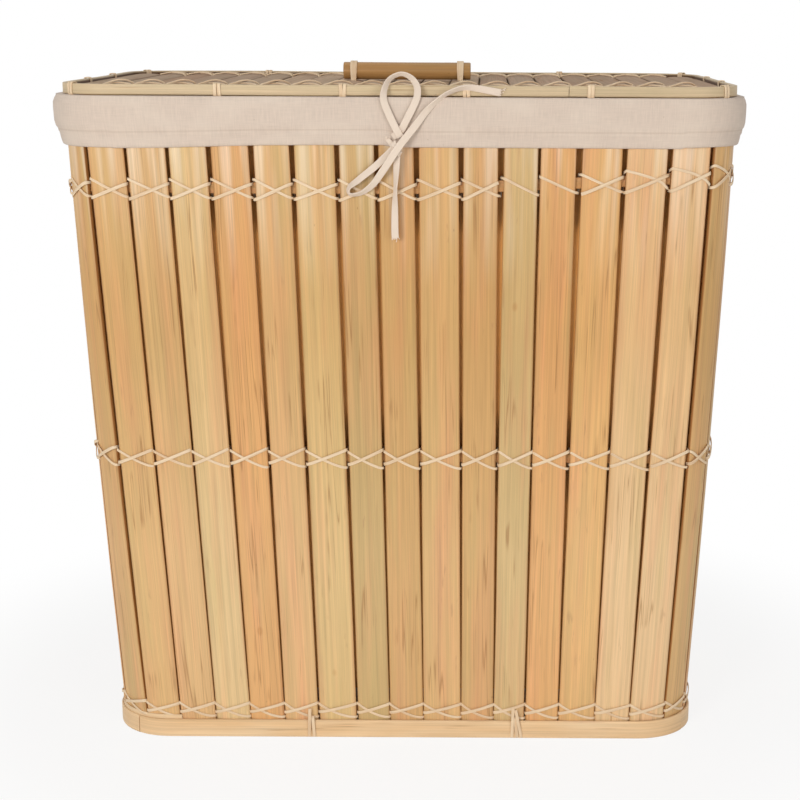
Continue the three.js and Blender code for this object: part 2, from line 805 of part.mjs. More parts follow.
// Slats: single ones on the front and corners, short groups on the back and sides
const groupSizes = { back: 3, right: 4, left: 4 };
let firstSlat = 0;
for (const face of faces) {
  const count = face.shares.length;
  const groupSize = groupSizes[face.name] ?? 1;
  for (let start = 0; start < count; start += groupSize) {
    const size = Math.min(groupSize, count - start);
    const number = String(start / groupSize + 1).padStart(2, '0');
    const suffix = count === 1 ? '_slat' : `${groupSize === 1 ? '_slat_' : '_slat_group_'}${number}`;
    piece(body, face.name + suffix, slatGroup(firstSlat + start, size), slatFinish(firstSlat + start));
  }
  firstSlat += count;
}

// Base
const baseFace = seatGap + baseHoopThickness;
const footBack = slatBack + footHoopThickness;
piece(body, 'base_outer_hoop', hoop(wallAt, baseFace, seatGap, 0, baseHoopHeight), finish.hoop);
piece(body, 'base_inner_hoop', hoop(wallAt, -slatBack, -footBack, 0, footHoopHeight), finish.hoop);
piece(body, 'floor_panel', floorPanel(), finish.plywood);

// Backing hoops and lacing, row by row
const rows = { lower: lowerRowHeight, middle: middleRowHeight, upper: upperRowHeight };
for (const [name, height] of Object.entries(rows)) {
  piece(body, `${name}_backing_hoop`, backingHoop(height), finish.backing);
  piece(body, `${name}_lacing_falling_strand`, wallLacing(height, true), finish.rattan);
  piece(body, `${name}_lacing_rising_strand`, wallLacing(height, false), finish.rattan);
}

// Rim
piece(body, 'rim_outer_hoop', hoop(wallAt, rimFace, seatGap, rimBottom, wallHeight), finish.hoop);
piece(body, 'rim_inner_hoop', hoop(wallAt, -slatBack, -rimBack, rimBottom, wallHeight), finish.hoop);

// Liner and drawstring
piece(body, 'liner_bag', linerBag(), finish.cotton);
piece(body, 'liner_divider', linerDivider(), finish.cotton);
piece(body, 'liner_cuff', linerCuff(), finish.cotton);
piece(body, 'drawstring_knot', drawstringKnot(), finish.cotton);
piece(body, 'drawstring_upper_loop', tape(upperLoopRoute), finish.cotton);
piece(body, 'drawstring_long_bow', tape(longBowRoute), finish.cotton);
piece(body, 'drawstring_hanging_tail', tape(hangingTailRoute), finish.cotton);

// Lid
piece(lid, 'lid_outer_hoop', hoop(() => lidLoop, 0, -lidHoopThickness, 0, lidHoopHeight), finish.hoop);
piece(lid, 'lid_locating_frame', locatingFrame(), finish.backing);
piece(lid, 'lid_panel', lidPanel(), finish.hoop);
piece(lid, 'lid_front_lacing', lidLacing(-lidRowDepth), finish.rattan);
piece(lid, 'lid_back_lacing', lidLacing(lidRowDepth), finish.rattan);
piece(lid, 'lid_lashings', lidLashings(), finish.rattan);
piece(lid, 'handle', lidHandle(), finish.cane);
handleTies().forEach((tie, index) => {
  piece(lid, index === 0 ? 'handle_left_tie' : 'handle_right_tie', tie.geometry, finish.rattan);
});

export default hamper;
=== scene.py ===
"""Looks of a laundry hamper with two bins: laced bamboo slats, a cotton liner and a lift-off lid.

Sizes are in millimetres unless a name ends in _m, and each mesh is written in metres.
"""

import json
import logging
import math
import random
from dataclasses import dataclass, field
from enum import Enum
from functools import cached_property
from typing import Any, Iterable, Sequence

import bpy
import numpy as np
from mathutils import Matrix, Vector


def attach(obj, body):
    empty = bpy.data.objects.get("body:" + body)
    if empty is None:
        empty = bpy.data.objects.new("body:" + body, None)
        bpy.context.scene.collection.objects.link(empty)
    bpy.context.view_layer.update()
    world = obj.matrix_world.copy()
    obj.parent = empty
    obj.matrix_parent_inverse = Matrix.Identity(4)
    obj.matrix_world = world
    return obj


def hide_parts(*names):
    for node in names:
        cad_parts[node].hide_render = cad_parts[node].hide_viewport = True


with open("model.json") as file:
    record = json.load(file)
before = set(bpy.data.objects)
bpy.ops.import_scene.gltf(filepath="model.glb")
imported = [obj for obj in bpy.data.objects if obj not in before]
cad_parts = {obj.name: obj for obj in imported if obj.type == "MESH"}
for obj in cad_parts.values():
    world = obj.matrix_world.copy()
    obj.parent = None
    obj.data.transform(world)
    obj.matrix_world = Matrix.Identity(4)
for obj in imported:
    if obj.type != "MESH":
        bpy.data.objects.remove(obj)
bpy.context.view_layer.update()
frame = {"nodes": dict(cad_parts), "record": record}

MM = 0.001
UP = np.array([0.0, 0.0, 1.0])
FRONT = np.array([0.0, -1.0, 0.0])
log = logging.getLogger("hamper")

Pair = tuple[float, float]


# Colours and nodes


def linear(code: str) -> tuple[float, float, float, float]:
    """Turns an sRGB hex colour into a linear one.

    Args:
        code: colour such as "#d9b079".

    Returns:
        Red, green, blue and alpha for a shader socket.
    """
    parts = [int(code[i : i + 2], 16) / 255 for i in (1, 3, 5)]
    red, green, blue = (p / 12.92 if p <= 0.04045 else ((p + 0.055) / 1.055) ** 2.4 for p in parts)
    return red, green, blue, 1.0


class Net:
    """A node tree that keeps its nodes by name, so that later nodes can name their outputs."""

    families = ("ShaderNode", "GeometryNode", "FunctionNode", "Node")
    # The setting that the second word of a kind is for
    worded = {
        **dict.fromkeys(("Math", "VectorMath", "Compare"), "operation"),
        **dict.fromkeys(("InputNamedAttribute", "StoreNamedAttribute"), "data_type"),
        **dict.fromkeys(("SetCurveNormal", "FilletCurve"), "mode"),
        "Mix": "blend_type",
        "MapRange": "interpolation_type",
        "Attribute": "attribute_name",
        "TexNoise": "noise_dimensions",
        "SetShadeSmooth": "domain",
        "CurveSplineType": "spline_type",
    }

    def __init__(self, tree: bpy.types.NodeTree) -> None:
        """Empties a tree.

        Args:
            tree: the node tree to fill.
        """
        tree.nodes.clear()
        self.tree = tree
        self.known: dict[str, bpy.types.Node] = {}

    def output(self, name: str) -> bpy.types.NodeSocket:
        """Finds the output of a node.

        Args:
            name: name of the node for its first output, or with a dot and the output's own name for another.

        Returns:
            The output.
        """
        node, _, label = name.partition(".")
        outputs = self.known[node].outputs
        return outputs[label] if label else next(socket for socket in outputs if socket.enabled)

    def add(self, name: str, kind: str, *values: Any, **settings: Any) -> None:
        """Adds a node with its settings and what goes into it.

        Args:
            name: name that later nodes call it by.
            kind: node type without its family, and a word for its main setting. A Mix with a word mixes colours.
            values: its inputs in order, each the name of an output, a plain value or None to leave it,
                or one table of them by the input's name.
            settings: the node's other properties.
        """
        word, _, setting = kind.partition(" ")
        family = next(start for start in self.families if hasattr(bpy.types, start + word))
        node = self.tree.nodes.new(family + word)
        if setting:
            settings[self.worded[word]] = setting
            if word == "Mix":
                settings["data_type"] = "RGBA"
        for key, value in settings.items():
            setattr(node, key, value)
        pairs = zip([socket for socket in node.inputs if socket.enabled], values)
        if values and isinstance(values[0], dict):
            pairs = ((node.inputs[key], value) for key, value in values[0].items())
        for socket, value in pairs:
            if isinstance(value, str) and socket.name != "Name":
                self.tree.links.new(self.output(value), socket)
            elif value is not None:
                socket.default_value = value
        self.known[name] = node

    def pattern(self, name: str, kind: str, source: str, size: Sequence[float], *rest: Any, shift: float = 0.0) -> None:
        """Adds a texture on scaled coordinates.

        Args:
            name: name of the texture.
            kind: its node type.
            source: output that gives the coordinates in metres.
            size: length of one repeat along each axis.
            rest: inputs that follow the texture's own scale.
            shift: how far the coordinates are moved, so that two patterns differ.
        """
        scale = (*(1000 / length for length in size), 1.0)[:3]
        self.add(name + " place", "Mapping", source, (shift, shift, 0.0), None, scale)
        self.add(name, kind, name + " place", 1.0, *rest)


# Finishes


@dataclass(frozen=True)
class Finish:
    """A material: what it is made of and how its surface was made."""

    name: str

    def surface(self, net: Net) -> dict[str, Any]:
        """Says what goes into the principled shader, by socket name."""
        raise NotImplementedError

    def build(self) -> bpy.types.Material:
        """Makes the material with a principled shader.

        Returns:
            The material.
        """
        material = bpy.data.materials.new(self.name)
        material.use_nodes = True
        net = Net(material.node_tree)
        net.add("shader", "BsdfPrincipled", self.surface(net))
        net.add("result", "OutputMaterial", "shader")
        return material


@dataclass(frozen=True)
class SplitBamboo(Finish):
    """Split and planed bamboo: long fibres, soft zones of pink and green, hairline cracks and stains."""

    tone: str | None = None  # None takes the colour of each slat from its tint attribute
    pink: str = "#e2a178"
    green: str = "#c4ad76"
    raw: str = "#9c6630"  # colour where the edge attribute is 1: the split sides and back, darkened as painted shade in the gaps between slats; on a swept strip it is the painted shade of the strip's lower inner side
    fibre_mm: Pair = (0.8, 80.0)
    zone_mm: Pair = (14.0, 210.0)
    zones: float = 0.42  # how strongly the pink and green zones tell
    cracks: float = 0.6
    deep: float = 0.0  # how much deeper the colour is over the upper half of a slat: painted shade for the weaker light there
    bloom: float = 0.0  # how strong the painted whitish sheen is near its upper end, a painted highlight on the lacquer
    roughness: float = 0.5
    gloss: float = 0.3

    def surface(self, net: Net) -> dict[str, Any]:
        """Runs fibres and zones along the slat, from its grain attribute in metres.

        Args:
            net: the material's nodes.

        Returns:
            Inputs of the principled shader.
        """
        net.add("grain", "Attribute grain")
        net.add("tint", "Attribute tint")
        net.add("edge", "Attribute edge")
        net.add("spot", "SeparateXYZ", "grain.Vector")
        wide, long = self.zone_mm
        for name, size, detail, shift in (
            ("fibre", self.fibre_mm, 4.0, 0.0),
            ("streak", (2.8, 330.0), 2.0, 5.3),
            ("pink", (wide, long), 2.0, 11.7),
            ("green", (wide * 1.3, long * 0.8), 2.0, 23.1),
            ("crack", (5.0, 260.0), 1.0, 37.9),
            ("patch", (26.0, 90.0), 2.0, 41.3),
            ("stain", (3.0, 24.0), 2.0, 53.7),
            ("vein", (2.6, 190.0), 2.0, 67.1),
            ("bloom", (9.0, 200.0), 1.0, 83.9),
        ):
            net.pattern(name, "TexNoise", "grain.Vector", size, detail, 0.55, shift=shift)
        # Where the crack noise crosses its middle value it draws a hairline, kept only in patches
        net.add("off", "Math SUBTRACT", "crack", 0.5)
        net.add("crack", "Math ABSOLUTE", "off")
        if self.tone is None:  # the tint's alpha marks the slats with many flaws
            net.add("patch", "Math MULTIPLY_ADD", "tint.Alpha", 0.1, "patch")
        for name, size in (("speck", (14, 34)), ("knot", (30, 52))):
            net.pattern(name, "TexVoronoi", "grain.Vector", size)
            net.add(name + " chance", "SeparateColor", name + ".Color")
        # Each share: the pattern it reads, the values it starts and ends at, and what it gives there
        for name, source, low, high, first, last in (
            ("pink share", "pink", 0.46, 0.72, 0.0, self.zones),
            ("green share", "green", 0.48, 0.74, 0.0, self.zones),
            ("hairline", "crack", 0.0, 0.028, 1.0, 0.0),
            ("cracked", "patch", 0.54, 0.62, 0.0, self.cracks),
            ("stain", "stain", 0.62, 0.7, 0.0, 0.5),
            ("stained", "patch", 0.42, 0.36, 0.0, self.cracks),
            ("vein", "vein", 0.58, 0.7, 0.0, 0.5),
            ("veined", "pink", 0.56, 0.66, 0.0, self.cracks),
            ("speck", "speck.Distance", 0.015, 0.05, 0.6, 0.0),
            ("specked", "speck chance", 0.8, 0.82, 0.0, 1.0),
            ("knot", "knot.Distance", 0.06, 0.11, 0.4, 0.0),
            ("knotted", "knot chance", 0.88, 0.9, 0.0, 1.0),
            # Painted shade: the colour deepens over the upper half of the slat and eases near its top end
            ("deep", "spot.Y", -0.11, 0.09, 0.0, self.deep),
            ("lower", "spot.Y", 0.14, 0.25, 1.0, 0.5),
            # Painted highlight: a whitish sheen near the upper end of the slat
            ("bloom", "bloom", 0.46, 0.66, 0.0, self.bloom),
            ("upper", "spot.Y", 0.13, 0.26, 0.0, 1.0),
            ("streaks", "streak", 0.32, 0.68, 0.91, 1.06),
            ("fibres", "fibre", 0.32, 0.68, 0.9, 1.07),
            ("rough", "fibre", 0.0, 1.0, self.roughness - 0.08, self.roughness + 0.1),
        ):
            net.add(name, "MapRange", source, low, high, first, last)
        for name, where in (
            ("hairline", "cracked"),
            ("stain", "stained"),
            ("vein", "veined"),
            ("speck", "specked"),
            ("knot", "knotted"),
            ("deep", "lower"),
            ("bloom", "upper"),
        ):
            net.add(name, "Math MULTIPLY", name, where)
        under: Any = "tint.Color" if self.tone is None else linear(self.tone)
        for share, over, blend in (
            ("pink share", linear(self.pink), "MIX"),
            ("green share", linear(self.green), "MIX"),
            ("vein", linear("#a97a62"), "MIX"),
            ("hairline", linear("#9a6c3f"), "MIX"),
            ("stain", linear("#a4785a"), "MIX"),
            ("speck", linear("#80582f"), "MIX"),
            ("knot", linear("#b98349"), "MIX"),
            # Painted shade over the upper half of the slat
            ("deep", (0.885, 0.805, 0.68, 1.0), "MULTIPLY"),
            # Painted highlight near the upper end of the slat
            ("bloom", linear("#efdec4"), "MIX"),
            (1.0, "streaks", "MULTIPLY"),
            (1.0, "fibres", "MULTIPLY"),
            # The split sides and back: raw colour, darkened as painted shade in the gaps between slats
            ("edge.Fac", linear(self.raw), "MIX"),
        ):
            net.add("colour", "Mix " + blend, share, under, over)
            under = "colour"
        net.add("bump", "Bump", {"Strength": 0.3, "Distance": 0.0004, "Height": "fibre"})
        return {"Base Color": "colour", "Roughness": "rough", "Specular IOR Level": self.gloss, "Normal": "bump"}


@dataclass(frozen=True)
class PeeledRattan(Finish):
    """Rattan strip split from the core: matt, pale, with fine pores along its run."""

    tone: str = "#e6cdab"
    shade: str = "#cda579"
    fibre_mm: Pair = (0.6, 14.0)

    def surface(self, net: Net) -> dict[str, Any]:
        """Runs fibres along the strip by its grain attribute.

        Args:
            net: the material's nodes.

        Returns:
            Inputs of the principled shader.
        """
        net.add("grain", "Attribute grain")
        net.pattern("fibre", "TexNoise", "grain.Vector", self.fibre_mm, 3.0)
        net.pattern("zone", "TexNoise", "grain.Vector", (6.0, 45.0), 3.0)
        net.add("shaded", "MapRange", "zone", 0.45, 0.8, 0.0, 0.8)
        net.add("fibres", "MapRange", "fibre", 0.3, 0.7, 0.88, 1.04)
        net.add("colour", "Mix MIX", "shaded", linear(self.tone), linear(self.shade))
        net.add("colour", "Mix MULTIPLY", 1.0, "colour", "fibres")
        net.add("bump", "Bump", {"Strength": 0.3, "Distance": 0.0003, "Height": "fibre"})
        return {"Base Color": "colour", "Roughness": 0.62, "Normal": "bump"}


@dataclass(frozen=True)
class WovenCotton(Finish):
    """Unbleached plain-weave cotton: soft slubs along the warp, faint cross threads and a few seed flecks.

    Its yarn is about 0.5 mm, too fine for the picture, so the weave is drawn at about twice that.
    """

    tone: str = "#d1bfaf"
    yarn_mm: float = 1.0
    slub_mm: float = 14.0
    flecks: float = 0.6
    cloud: str = "#dccdbc"
    sewn_mm: float = 0.0  # how far down the cloth a line of stitches runs, drawn as a darker line that is partly painted shade of the crease there, 0 for none

    def surface(self, net: Net) -> dict[str, Any]:
        """Lays the weave on the cloth by its weave attribute, in metres along and down.

        Args:
            net: the material's nodes.

        Returns:
            Inputs of the principled shader.
        """
        net.add("weave", "Attribute weave")
        yarn, slub = self.yarn_mm, self.slub_mm
        for name, size in (("warp", (yarn, slub)), ("weft", (slub, yarn)), ("cloud", (45.0, 30.0))):
            net.pattern(name, "TexNoise", "weave.Vector", size, 2.0)
        net.add("threads", "Mix", 0.38, "warp", "weft")
        net.add("thread shade", "MapRange", "threads", 0.3, 0.7, 0.89, 1.05)
        net.add("clouded", "MapRange", "cloud", 0.45, 0.7, 0.0, 0.4)
        net.pattern("fleck", "TexVoronoi", "weave.Vector", (13, 13))
        net.add("chance", "SeparateColor", "fleck.Color")
        net.add("chosen", "Math GREATER_THAN", "chance", 0.82)
        net.add("spot", "MapRange", "fleck.Distance", 0.02, 0.05, self.flecks, 0.0)
        net.add("flecked", "Math MULTIPLY", "spot", "chosen")
        net.add("colour", "Mix MULTIPLY", 1.0, linear(self.tone), "thread shade")
        net.add("colour", "Mix MIX", "clouded", "colour", linear(self.cloud))
        net.add("colour", "Mix MIX", "flecked", "colour", linear("#9c8468"))
        # A darker line along the seam: the stitches, and painted shade of the crease beside them
        if self.sewn_mm:
            net.add("place", "SeparateXYZ", "weave.Vector")
            net.add("past", "Math SUBTRACT", "place.Y", self.sewn_mm * MM)
            net.add("away", "Math ABSOLUTE", "past")
            net.add("line", "MapRange", "away", 0.3 * MM, 1.1 * MM, 0.22, 0.0)
            net.add("colour", "Mix MIX", "line", "colour", linear("#a98f78"))
        net.add("bump", "Bump", {"Strength": 0.35, "Distance": 0.0004, "Height": "threads"})
        sheen = {"Sheen Weight": 0.15, "Sheen Roughness": 0.6}
        return {"Base Color": "colour", "Roughness": 0.95, "Specular IOR Level": 0.2, "Normal": "bump", **sheen}


@dataclass(frozen=True)
class FixedPieceWood(Finish):
    """Wood of a CAD piece that keeps its own mesh: plain long grain read from Object coordinates."""

    tone: str = "#cf9a5e"
    shade: str = "#b27f45"
    grain_mm: tuple[float, float, float] = (60.0, 60.0, 1.6)

    def surface(self, net: Net) -> dict[str, Any]:
        """Draws streaks that are long on one or two axes and fine on the others.

        Args:
            net: the material's nodes.

        Returns:
            Inputs of the principled shader.
        """
        net.add("place", "TexCoord")
        net.pattern("streak", "TexNoise", "place.Object", self.grain_mm, 4.0, 0.6)
        net.add("shaded", "MapRange", "streak", 0.35, 0.7)
        net.add("colour", "Mix MIX", "shaded", linear(self.tone), linear(self.shade))
        net.add("bump", "Bump", {"Strength": 0.3, "Distance": 0.0004, "Height": "streak"})
        return {"Base Color": "colour", "Roughness": 0.6, "Normal": "bump"}


# What sets each finish apart. Bare and shaded: brown, dry and almost without shine, its colours darkened as painted
# shade on the lid's top. Hoop: broad pale and tan zones.
# Lid hoop: greyer and narrower zones, with dark painted shade on the lower part of its inner side. Shaded back:
# orange-brown cloth, painted shade and bounce light off the bamboo.
# Tape: finer and paler than the canvas. Smoked: an even brown with a soft shine.
BARE_AND_SHADED = {"pink": "#b39078", "green": "#a3937a", "raw": "#7d6650", "roughness": 0.8, "gloss": 0.1}
HOOP = {"pink": "#edd4ae", "green": "#d8ae7a", "zone_mm": (30.0, 190.0), "zones": 0.7}
LID_HOOP = {"pink": "#d8bd98", "green": "#bfae84", "raw": "#5f4128", "zone_mm": (9.0, 160.0)}
# The outer side of the bag, painted brown as shade and bounce light off the bamboo
SHADED_BACK = {"tone": "#eba45a", "flecks": 0.0, "cloud": "#e6aa6a"}
TAPE = {"tone": "#e2d0be", "yarn_mm": 0.8, "slub_mm": 9.0, "flecks": 0.0}
SMOKED = {"tone": "#b0844f", "pink": "#9c6b40", "green": "#a08a58", "cracks": 0.3, "roughness": 0.42}


class Surface(Enum):
    """The finishes of the hamper's pieces."""

    # Its bloom is a painted highlight near the upper end of each slat
    # Its deep darkening is painted shade over the upper half of each slat
    SLAT = SplitBamboo("Split bamboo, planed and lacquered", deep=1.0, bloom=0.5)
    # The bare inner side, its colours darkened as painted shade on the lid's top
    LID_SLAT = SplitBamboo("Split bamboo, bare inner side", **BARE_AND_SHADED)
    HOOP = SplitBamboo("Bamboo hoop strip, planed", tone="#e3c196", **HOOP)
    LID_HOOP = SplitBamboo("Bamboo lid strip, planed", tone="#cab491", **LID_HOOP)
    BACKING = SplitBamboo("Bamboo backing strip, rough split", tone="#d39a5e", roughness=0.6)
    RATTAN = PeeledRattan("Rattan strip, peeled")
    COTTON = WovenCotton("Cotton canvas, plain woven")
    COTTON_CUFF = WovenCotton("Cotton canvas, hemmed", sewn_mm=21.5)
    # Painted shade and bounce light off the bamboo, on the outer side of the bag
    COTTON_BACK = WovenCotton("Cotton canvas, tanned by the bamboo", **SHADED_BACK)
    TAPE = WovenCotton("Cotton tape, folded and pressed", **TAPE)
    CANE = SplitBamboo("Bamboo cane, smoked", **SMOKED)
    PLYWOOD = FixedPieceWood("Plywood, sanded", tone="#d8bd8f", shade="#c7a673", grain_mm=(90.0, 5.0, 5.0))
    ROUGH = FixedPieceWood("Bamboo hoop, rough split")


# Shapes shared with the CAD


@dataclass(frozen=True)
class Loop:
    """A rounded rectangle round the hamper, walked counter-clockwise from the middle of the front."""

    half_width: float
    half_depth: float
    radius: float

    def grown(self, offset: float) -> "Loop":
        """Gives the loop that runs this far outside."""
        return Loop(self.half_width + offset, self.half_depth + offset, self.radius + offset)

    def starts(self) -> np.ndarray:
        """Measures the straights and corners.

        Returns:
            The distances at which they begin, and the whole length last.
        """
        wide, deep = self.half_width - self.radius, self.half_depth - self.radius
        arc = self.radius * math.pi / 2
        return np.cumsum([0, wide, arc, 2 * deep, arc, 2 * wide, arc, 2 * deep, arc, wide])

    def spots(self, distances: Iterable[float]) -> tuple[np.ndarray, np.ndarray]:
        """Finds places along the loop.

        Args:
            distances: how far each place is along the loop.

        Returns:
            The places and the outward directions, both with height zero.
        """
        starts = self.starts()
        walked = np.mod(np.asarray(list(distances), float), starts[-1])
        part = np.clip(np.searchsorted(starts, walked, side="right") - 1, 0, 8)
        past = walked - starts[part]
        turn = (part // 2) * math.pi / 2 - math.pi / 2 + np.where(part % 2, past / self.radius, 0)
        out = np.stack([np.cos(turn), np.sin(turn), np.zeros_like(turn)], -1)
        along = np.stack([-np.sin(turn), np.cos(turn), np.zeros_like(turn)], -1)
        wide, deep = self.half_width - self.radius, self.half_depth - self.radius
        centres = np.array([[wide, -deep, 0], [wide, deep, 0], [-wide, deep, 0], [-wide, -deep, 0]])
        corner = np.where(part % 2, part // 2, part // 2 - 1) % 4
        centre = np.where((part == 0)[:, None], np.array([[0, -deep, 0]]), centres[corner])
        ahead = np.where(part % 2, 0, past)
        return centre + out * self.radius + along * ahead[:, None], out

    def spot(self, distance: float) -> tuple[np.ndarray, np.ndarray]:
        """Finds one place along the loop and the outward direction there."""
        positions, outs = self.spots([distance])
        return positions[0], outs[0]

    def stand_out(self, points: np.ndarray) -> np.ndarray:
        """Measures how far points stand outside the loop.

        Args:
            points: their places.

        Returns:
            The distance of each, negative inside the loop.
        """
        over = np.abs(points[:, :2]) - [self.half_width - self.radius, self.half_depth - self.radius]
        outside = np.linalg.norm(np.maximum(over, 0), axis=1)
        return outside + np.minimum(over.max(axis=1), 0) - self.radius


@dataclass(frozen=True)
class Spot:
    """A place on the wall with its outward and walking directions."""

    position: np.ndarray
    out: np.ndarray
    along: np.ndarray


@dataclass(frozen=True)
class Face:
    """A run of slats between two corners, or the one slat of a corner."""

    name: str
    shares: tuple[float, ...] = (1,)
    long: bool = False


SIDE_SHARES = (1.02, 0.97, 1.03, 0.98, 1, 1.04, 0.96, 1)
FRONT_SHARES = (0.97, 1.02, 1, 0.99, 0.98, 1.11, 0.94, 0.97, 1.09, 0.94, 0.91, 0.97, 1.07, 1.03, 1.06)
BACK_SHARES = (1.03, 0.96, 1.05, 0.98, 1.02, 0.93, 1.06, 1, 0.97, 1.04, 0.95, 1.02, 0.99, 1.05, 0.95)


@dataclass(frozen=True)
class WallShape:
    """The outer face of the slatted wall and the gaps between its slats, as in the CAD."""

    height: float = 578.0
    foot: Pair = (528.0, 281.0)
    top: Pair = (575.0, 351.0)
    corner_radius: float = 50.0
    bow: float = 2.0
    slat_thickness: float = 4.0
    slat_crown: float = 1.1
    slat_shoulder: float = 0.2
    slat_shoulder_share: float = 0.34
    slat_foot: float = 2.0
    corner_slat_angle: float = math.radians(35)
    # The slats of the front were laced by hand: how far each gap lies past its even place at the foot
    # and at the top, and how wide it is there, from the left corner to both gaps of the right corner
    front_gaps: tuple[tuple[float, float, float, float], ...] = (
        (3.2, -3.0, 0.6, 4.6), (4.2, -1.2, 0.5, 2.2), (4.2, -1.8, 0.5, 3.1), (4.2, -1.8, 0.5, 4.5),
        (4.2, -0.6, 0.5, 4.5), (4.2, -0.6, 1.6, 4.5), (4.4, -1.4, 1.4, 4.0), (4.4, -0.8, 0.5, 3.8),
        (4.2, -1.2, 0.5, 4.6), (4.0, -1.6, 0.5, 4.3), (3.8, -0.6, 0.5, 5.7), (3.6, 0.2, 1.1, 1.9),
        (3.4, -0.2, 0.5, 5.6), (2.6, 0.6, 0.5, 4.2), (1.8, 3.2, 0.5, 4.6), (1.8, 4.6, 0.6, 4.2),
        (0.5, 3.0, 1.0, 3.0),
    )
    other_gap: Pair = (1.0, 3.9)
    faces: tuple[Face, ...] = (
        Face("front", FRONT_SHARES, True),
        Face("front_right_corner"),
        Face("right", SIDE_SHARES),
        Face("back_right_corner"),
        Face("back", BACK_SHARES, True),
        Face("back_left_corner"),
        Face("left", SIDE_SHARES),
        Face("front_left_corner"),
    )

    @property
    def slat_count(self) -> int:
        """Counts the slats round the wall."""
        return sum(len(face.shares) for face in self.faces)

    def at(self, height: float) -> Loop:
        """Gives the wall's outline at a height.

        Args:
            height: height above the ground.

        Returns:
            The outline there.
        """
        rise = height / self.height
        swell = self.bow * 4 * rise * (1 - rise)
        width, depth = (foot + (top - foot) * rise for foot, top in zip(self.foot, self.top))
        return Loop(width / 2 + swell, depth / 2 + swell, self.corner_radius)

    def gaps(self, height: float) -> np.ndarray:
        """Finds the gaps between slats at a height.

        Args:
            height: height above the ground.

        Returns:
            The distance along the wall of each gap, and of the first one again at the end.
        """
        loop = self.at(height)
        gap_angle = (math.pi / 2 - self.corner_slat_angle) / 2
        distances: list[float] = []
        for face in self.faces:
            half = loop.half_width if face.long else loop.half_depth
            length = 2 * (half - loop.radius) + 2 * loop.radius * gap_angle
            if face.name.endswith("corner"):
                length = loop.radius * self.corner_slat_angle
            if not distances:
                distances.append(-length / 2)
            for share in face.shares:
                distances.append(distances[-1] + length * share / sum(face.shares))
        past = np.zeros(len(distances))
        shifts = [foot + (top - foot) * height / self.height for foot, top, *_ in self.front_gaps]
        past[: len(shifts)] = shifts
        past[-1] = past[0]
        return np.array(distances) + past

    def gap_width(self, gap: int, height: float) -> float:
        """Gives the width of a gap between slats at a height.

        Args:
            gap: number of the gap.
            height: height above the ground.

        Returns:
            The width there.
        """
        number = gap % self.slat_count
        foot, top = self.front_gaps[number][2:] if number < len(self.front_gaps) else self.other_gap
        return foot + (top - foot) * height / self.height

    def spot(self, gap: float, height: float, offset: float = 0.0) -> Spot:
        """Finds a place on the wall.

        Args:
            gap: number of the gap, or part of the way to the next one.
            height: height above the ground.
            offset: distance outside the face of the wall.

        Returns:
            The place at that height.
        """
        index = math.floor(gap)
        distances = self.gaps(height)
        start, end = distances[index % self.slat_count], distances[index % self.slat_count + 1]
        position, out = self.at(height).spot(start + (end - start) * (gap - index))
        return Spot(position + out * offset + UP * height, out, np.cross(UP, out))

    def slat_middle(self, slat: int, height: float) -> tuple[Spot, float]:
        """Fits a flat slat between its two gaps, pushed in so that it stays behind the wall's outline.

        Args:
            slat: number of the slat.
            height: height above the ground.

        Returns:
            The middle of its face at that height, and half its width there.
        """
        middle = self.spot(slat + 0.5, height)
        reaches = []
        for end, side in ((0, -1), (1, 1)):
            gap = self.spot(slat + end, height)
            reach = (gap.position - middle.position) @ gap.along * side
            turn = middle.out @ gap.along * side * self.slat_thickness
            spare = self.gap_width(slat + end, height) / 2
            reaches.append((reach + turn - spare) / (middle.along @ gap.along))
        half = sum(reaches) / 2
        place = middle.position + middle.along * (reaches[1] - reaches[0]) / 2
        edge, shoulder = (half, self.slat_crown), (half * self.slat_shoulder_share, self.slat_shoulder)
        profile = [(side * across, -low) for across, low in (edge, shoulder) for side in (-1, 1)]
        points = np.array([place + middle.along * a + middle.out * o for a, o in profile])
        proud = max(0.0, float(self.at(height).stand_out(points).max()))
        return Spot(place - middle.out * proud, middle.out, middle.along), half


WALL = WallShape()


def rounded(value: float, low: float, high: float) -> float:
    """Gives 0 below low, 1 above high and a smooth step between them."""
    share = min(1.0, max(0.0, (value - low) / (high - low)))
    return share * share * (3 - 2 * share)


def unit(vector: np.ndarray) -> np.ndarray:
    """Gives the direction of a vector."""
    return vector / np.linalg.norm(vector)


# Meshes and geometry nodes


def mesh_object(name: str, points: Any, faces: Iterable = (), edges: Iterable = ()) -> bpy.types.Object:
    """Makes an object at the origin from points in millimetres.

    Args:
        name: name of the object and its mesh.
        points: places of the vertices.
        faces: vertex numbers of each face.
        edges: vertex numbers of each loose edge.

    Returns:
        The object, linked to the scene.
    """
    mesh = bpy.data.meshes.new(name)
    mesh.from_pydata((np.asarray(points, float).reshape(-1, 3) * MM).tolist(), list(edges), list(faces))
    mesh.update()
    obj = bpy.data.objects.new(name, mesh)
    bpy.context.scene.collection.objects.link(obj)
    return obj


def ring_faces(rows: int, columns: int, closed: bool = True) -> list[tuple[int, ...]]:
    """Joins a grid of points with faces, and its last row with its first one.

    Args:
        rows: how many rows it has.
        columns: how many points each row has.
        closed: whether the last column joins the first one as well.

    Returns:
        The vertex numbers of each face.
    """
    faces = []
    for row in range(rows):
        here, there = row * columns, ((row + 1) % rows) * columns
        for column in range(columns if closed else columns - 1):
            beside = (column + 1) % columns
            faces.append((here + column, here + beside, there + beside, there + column))
    return faces


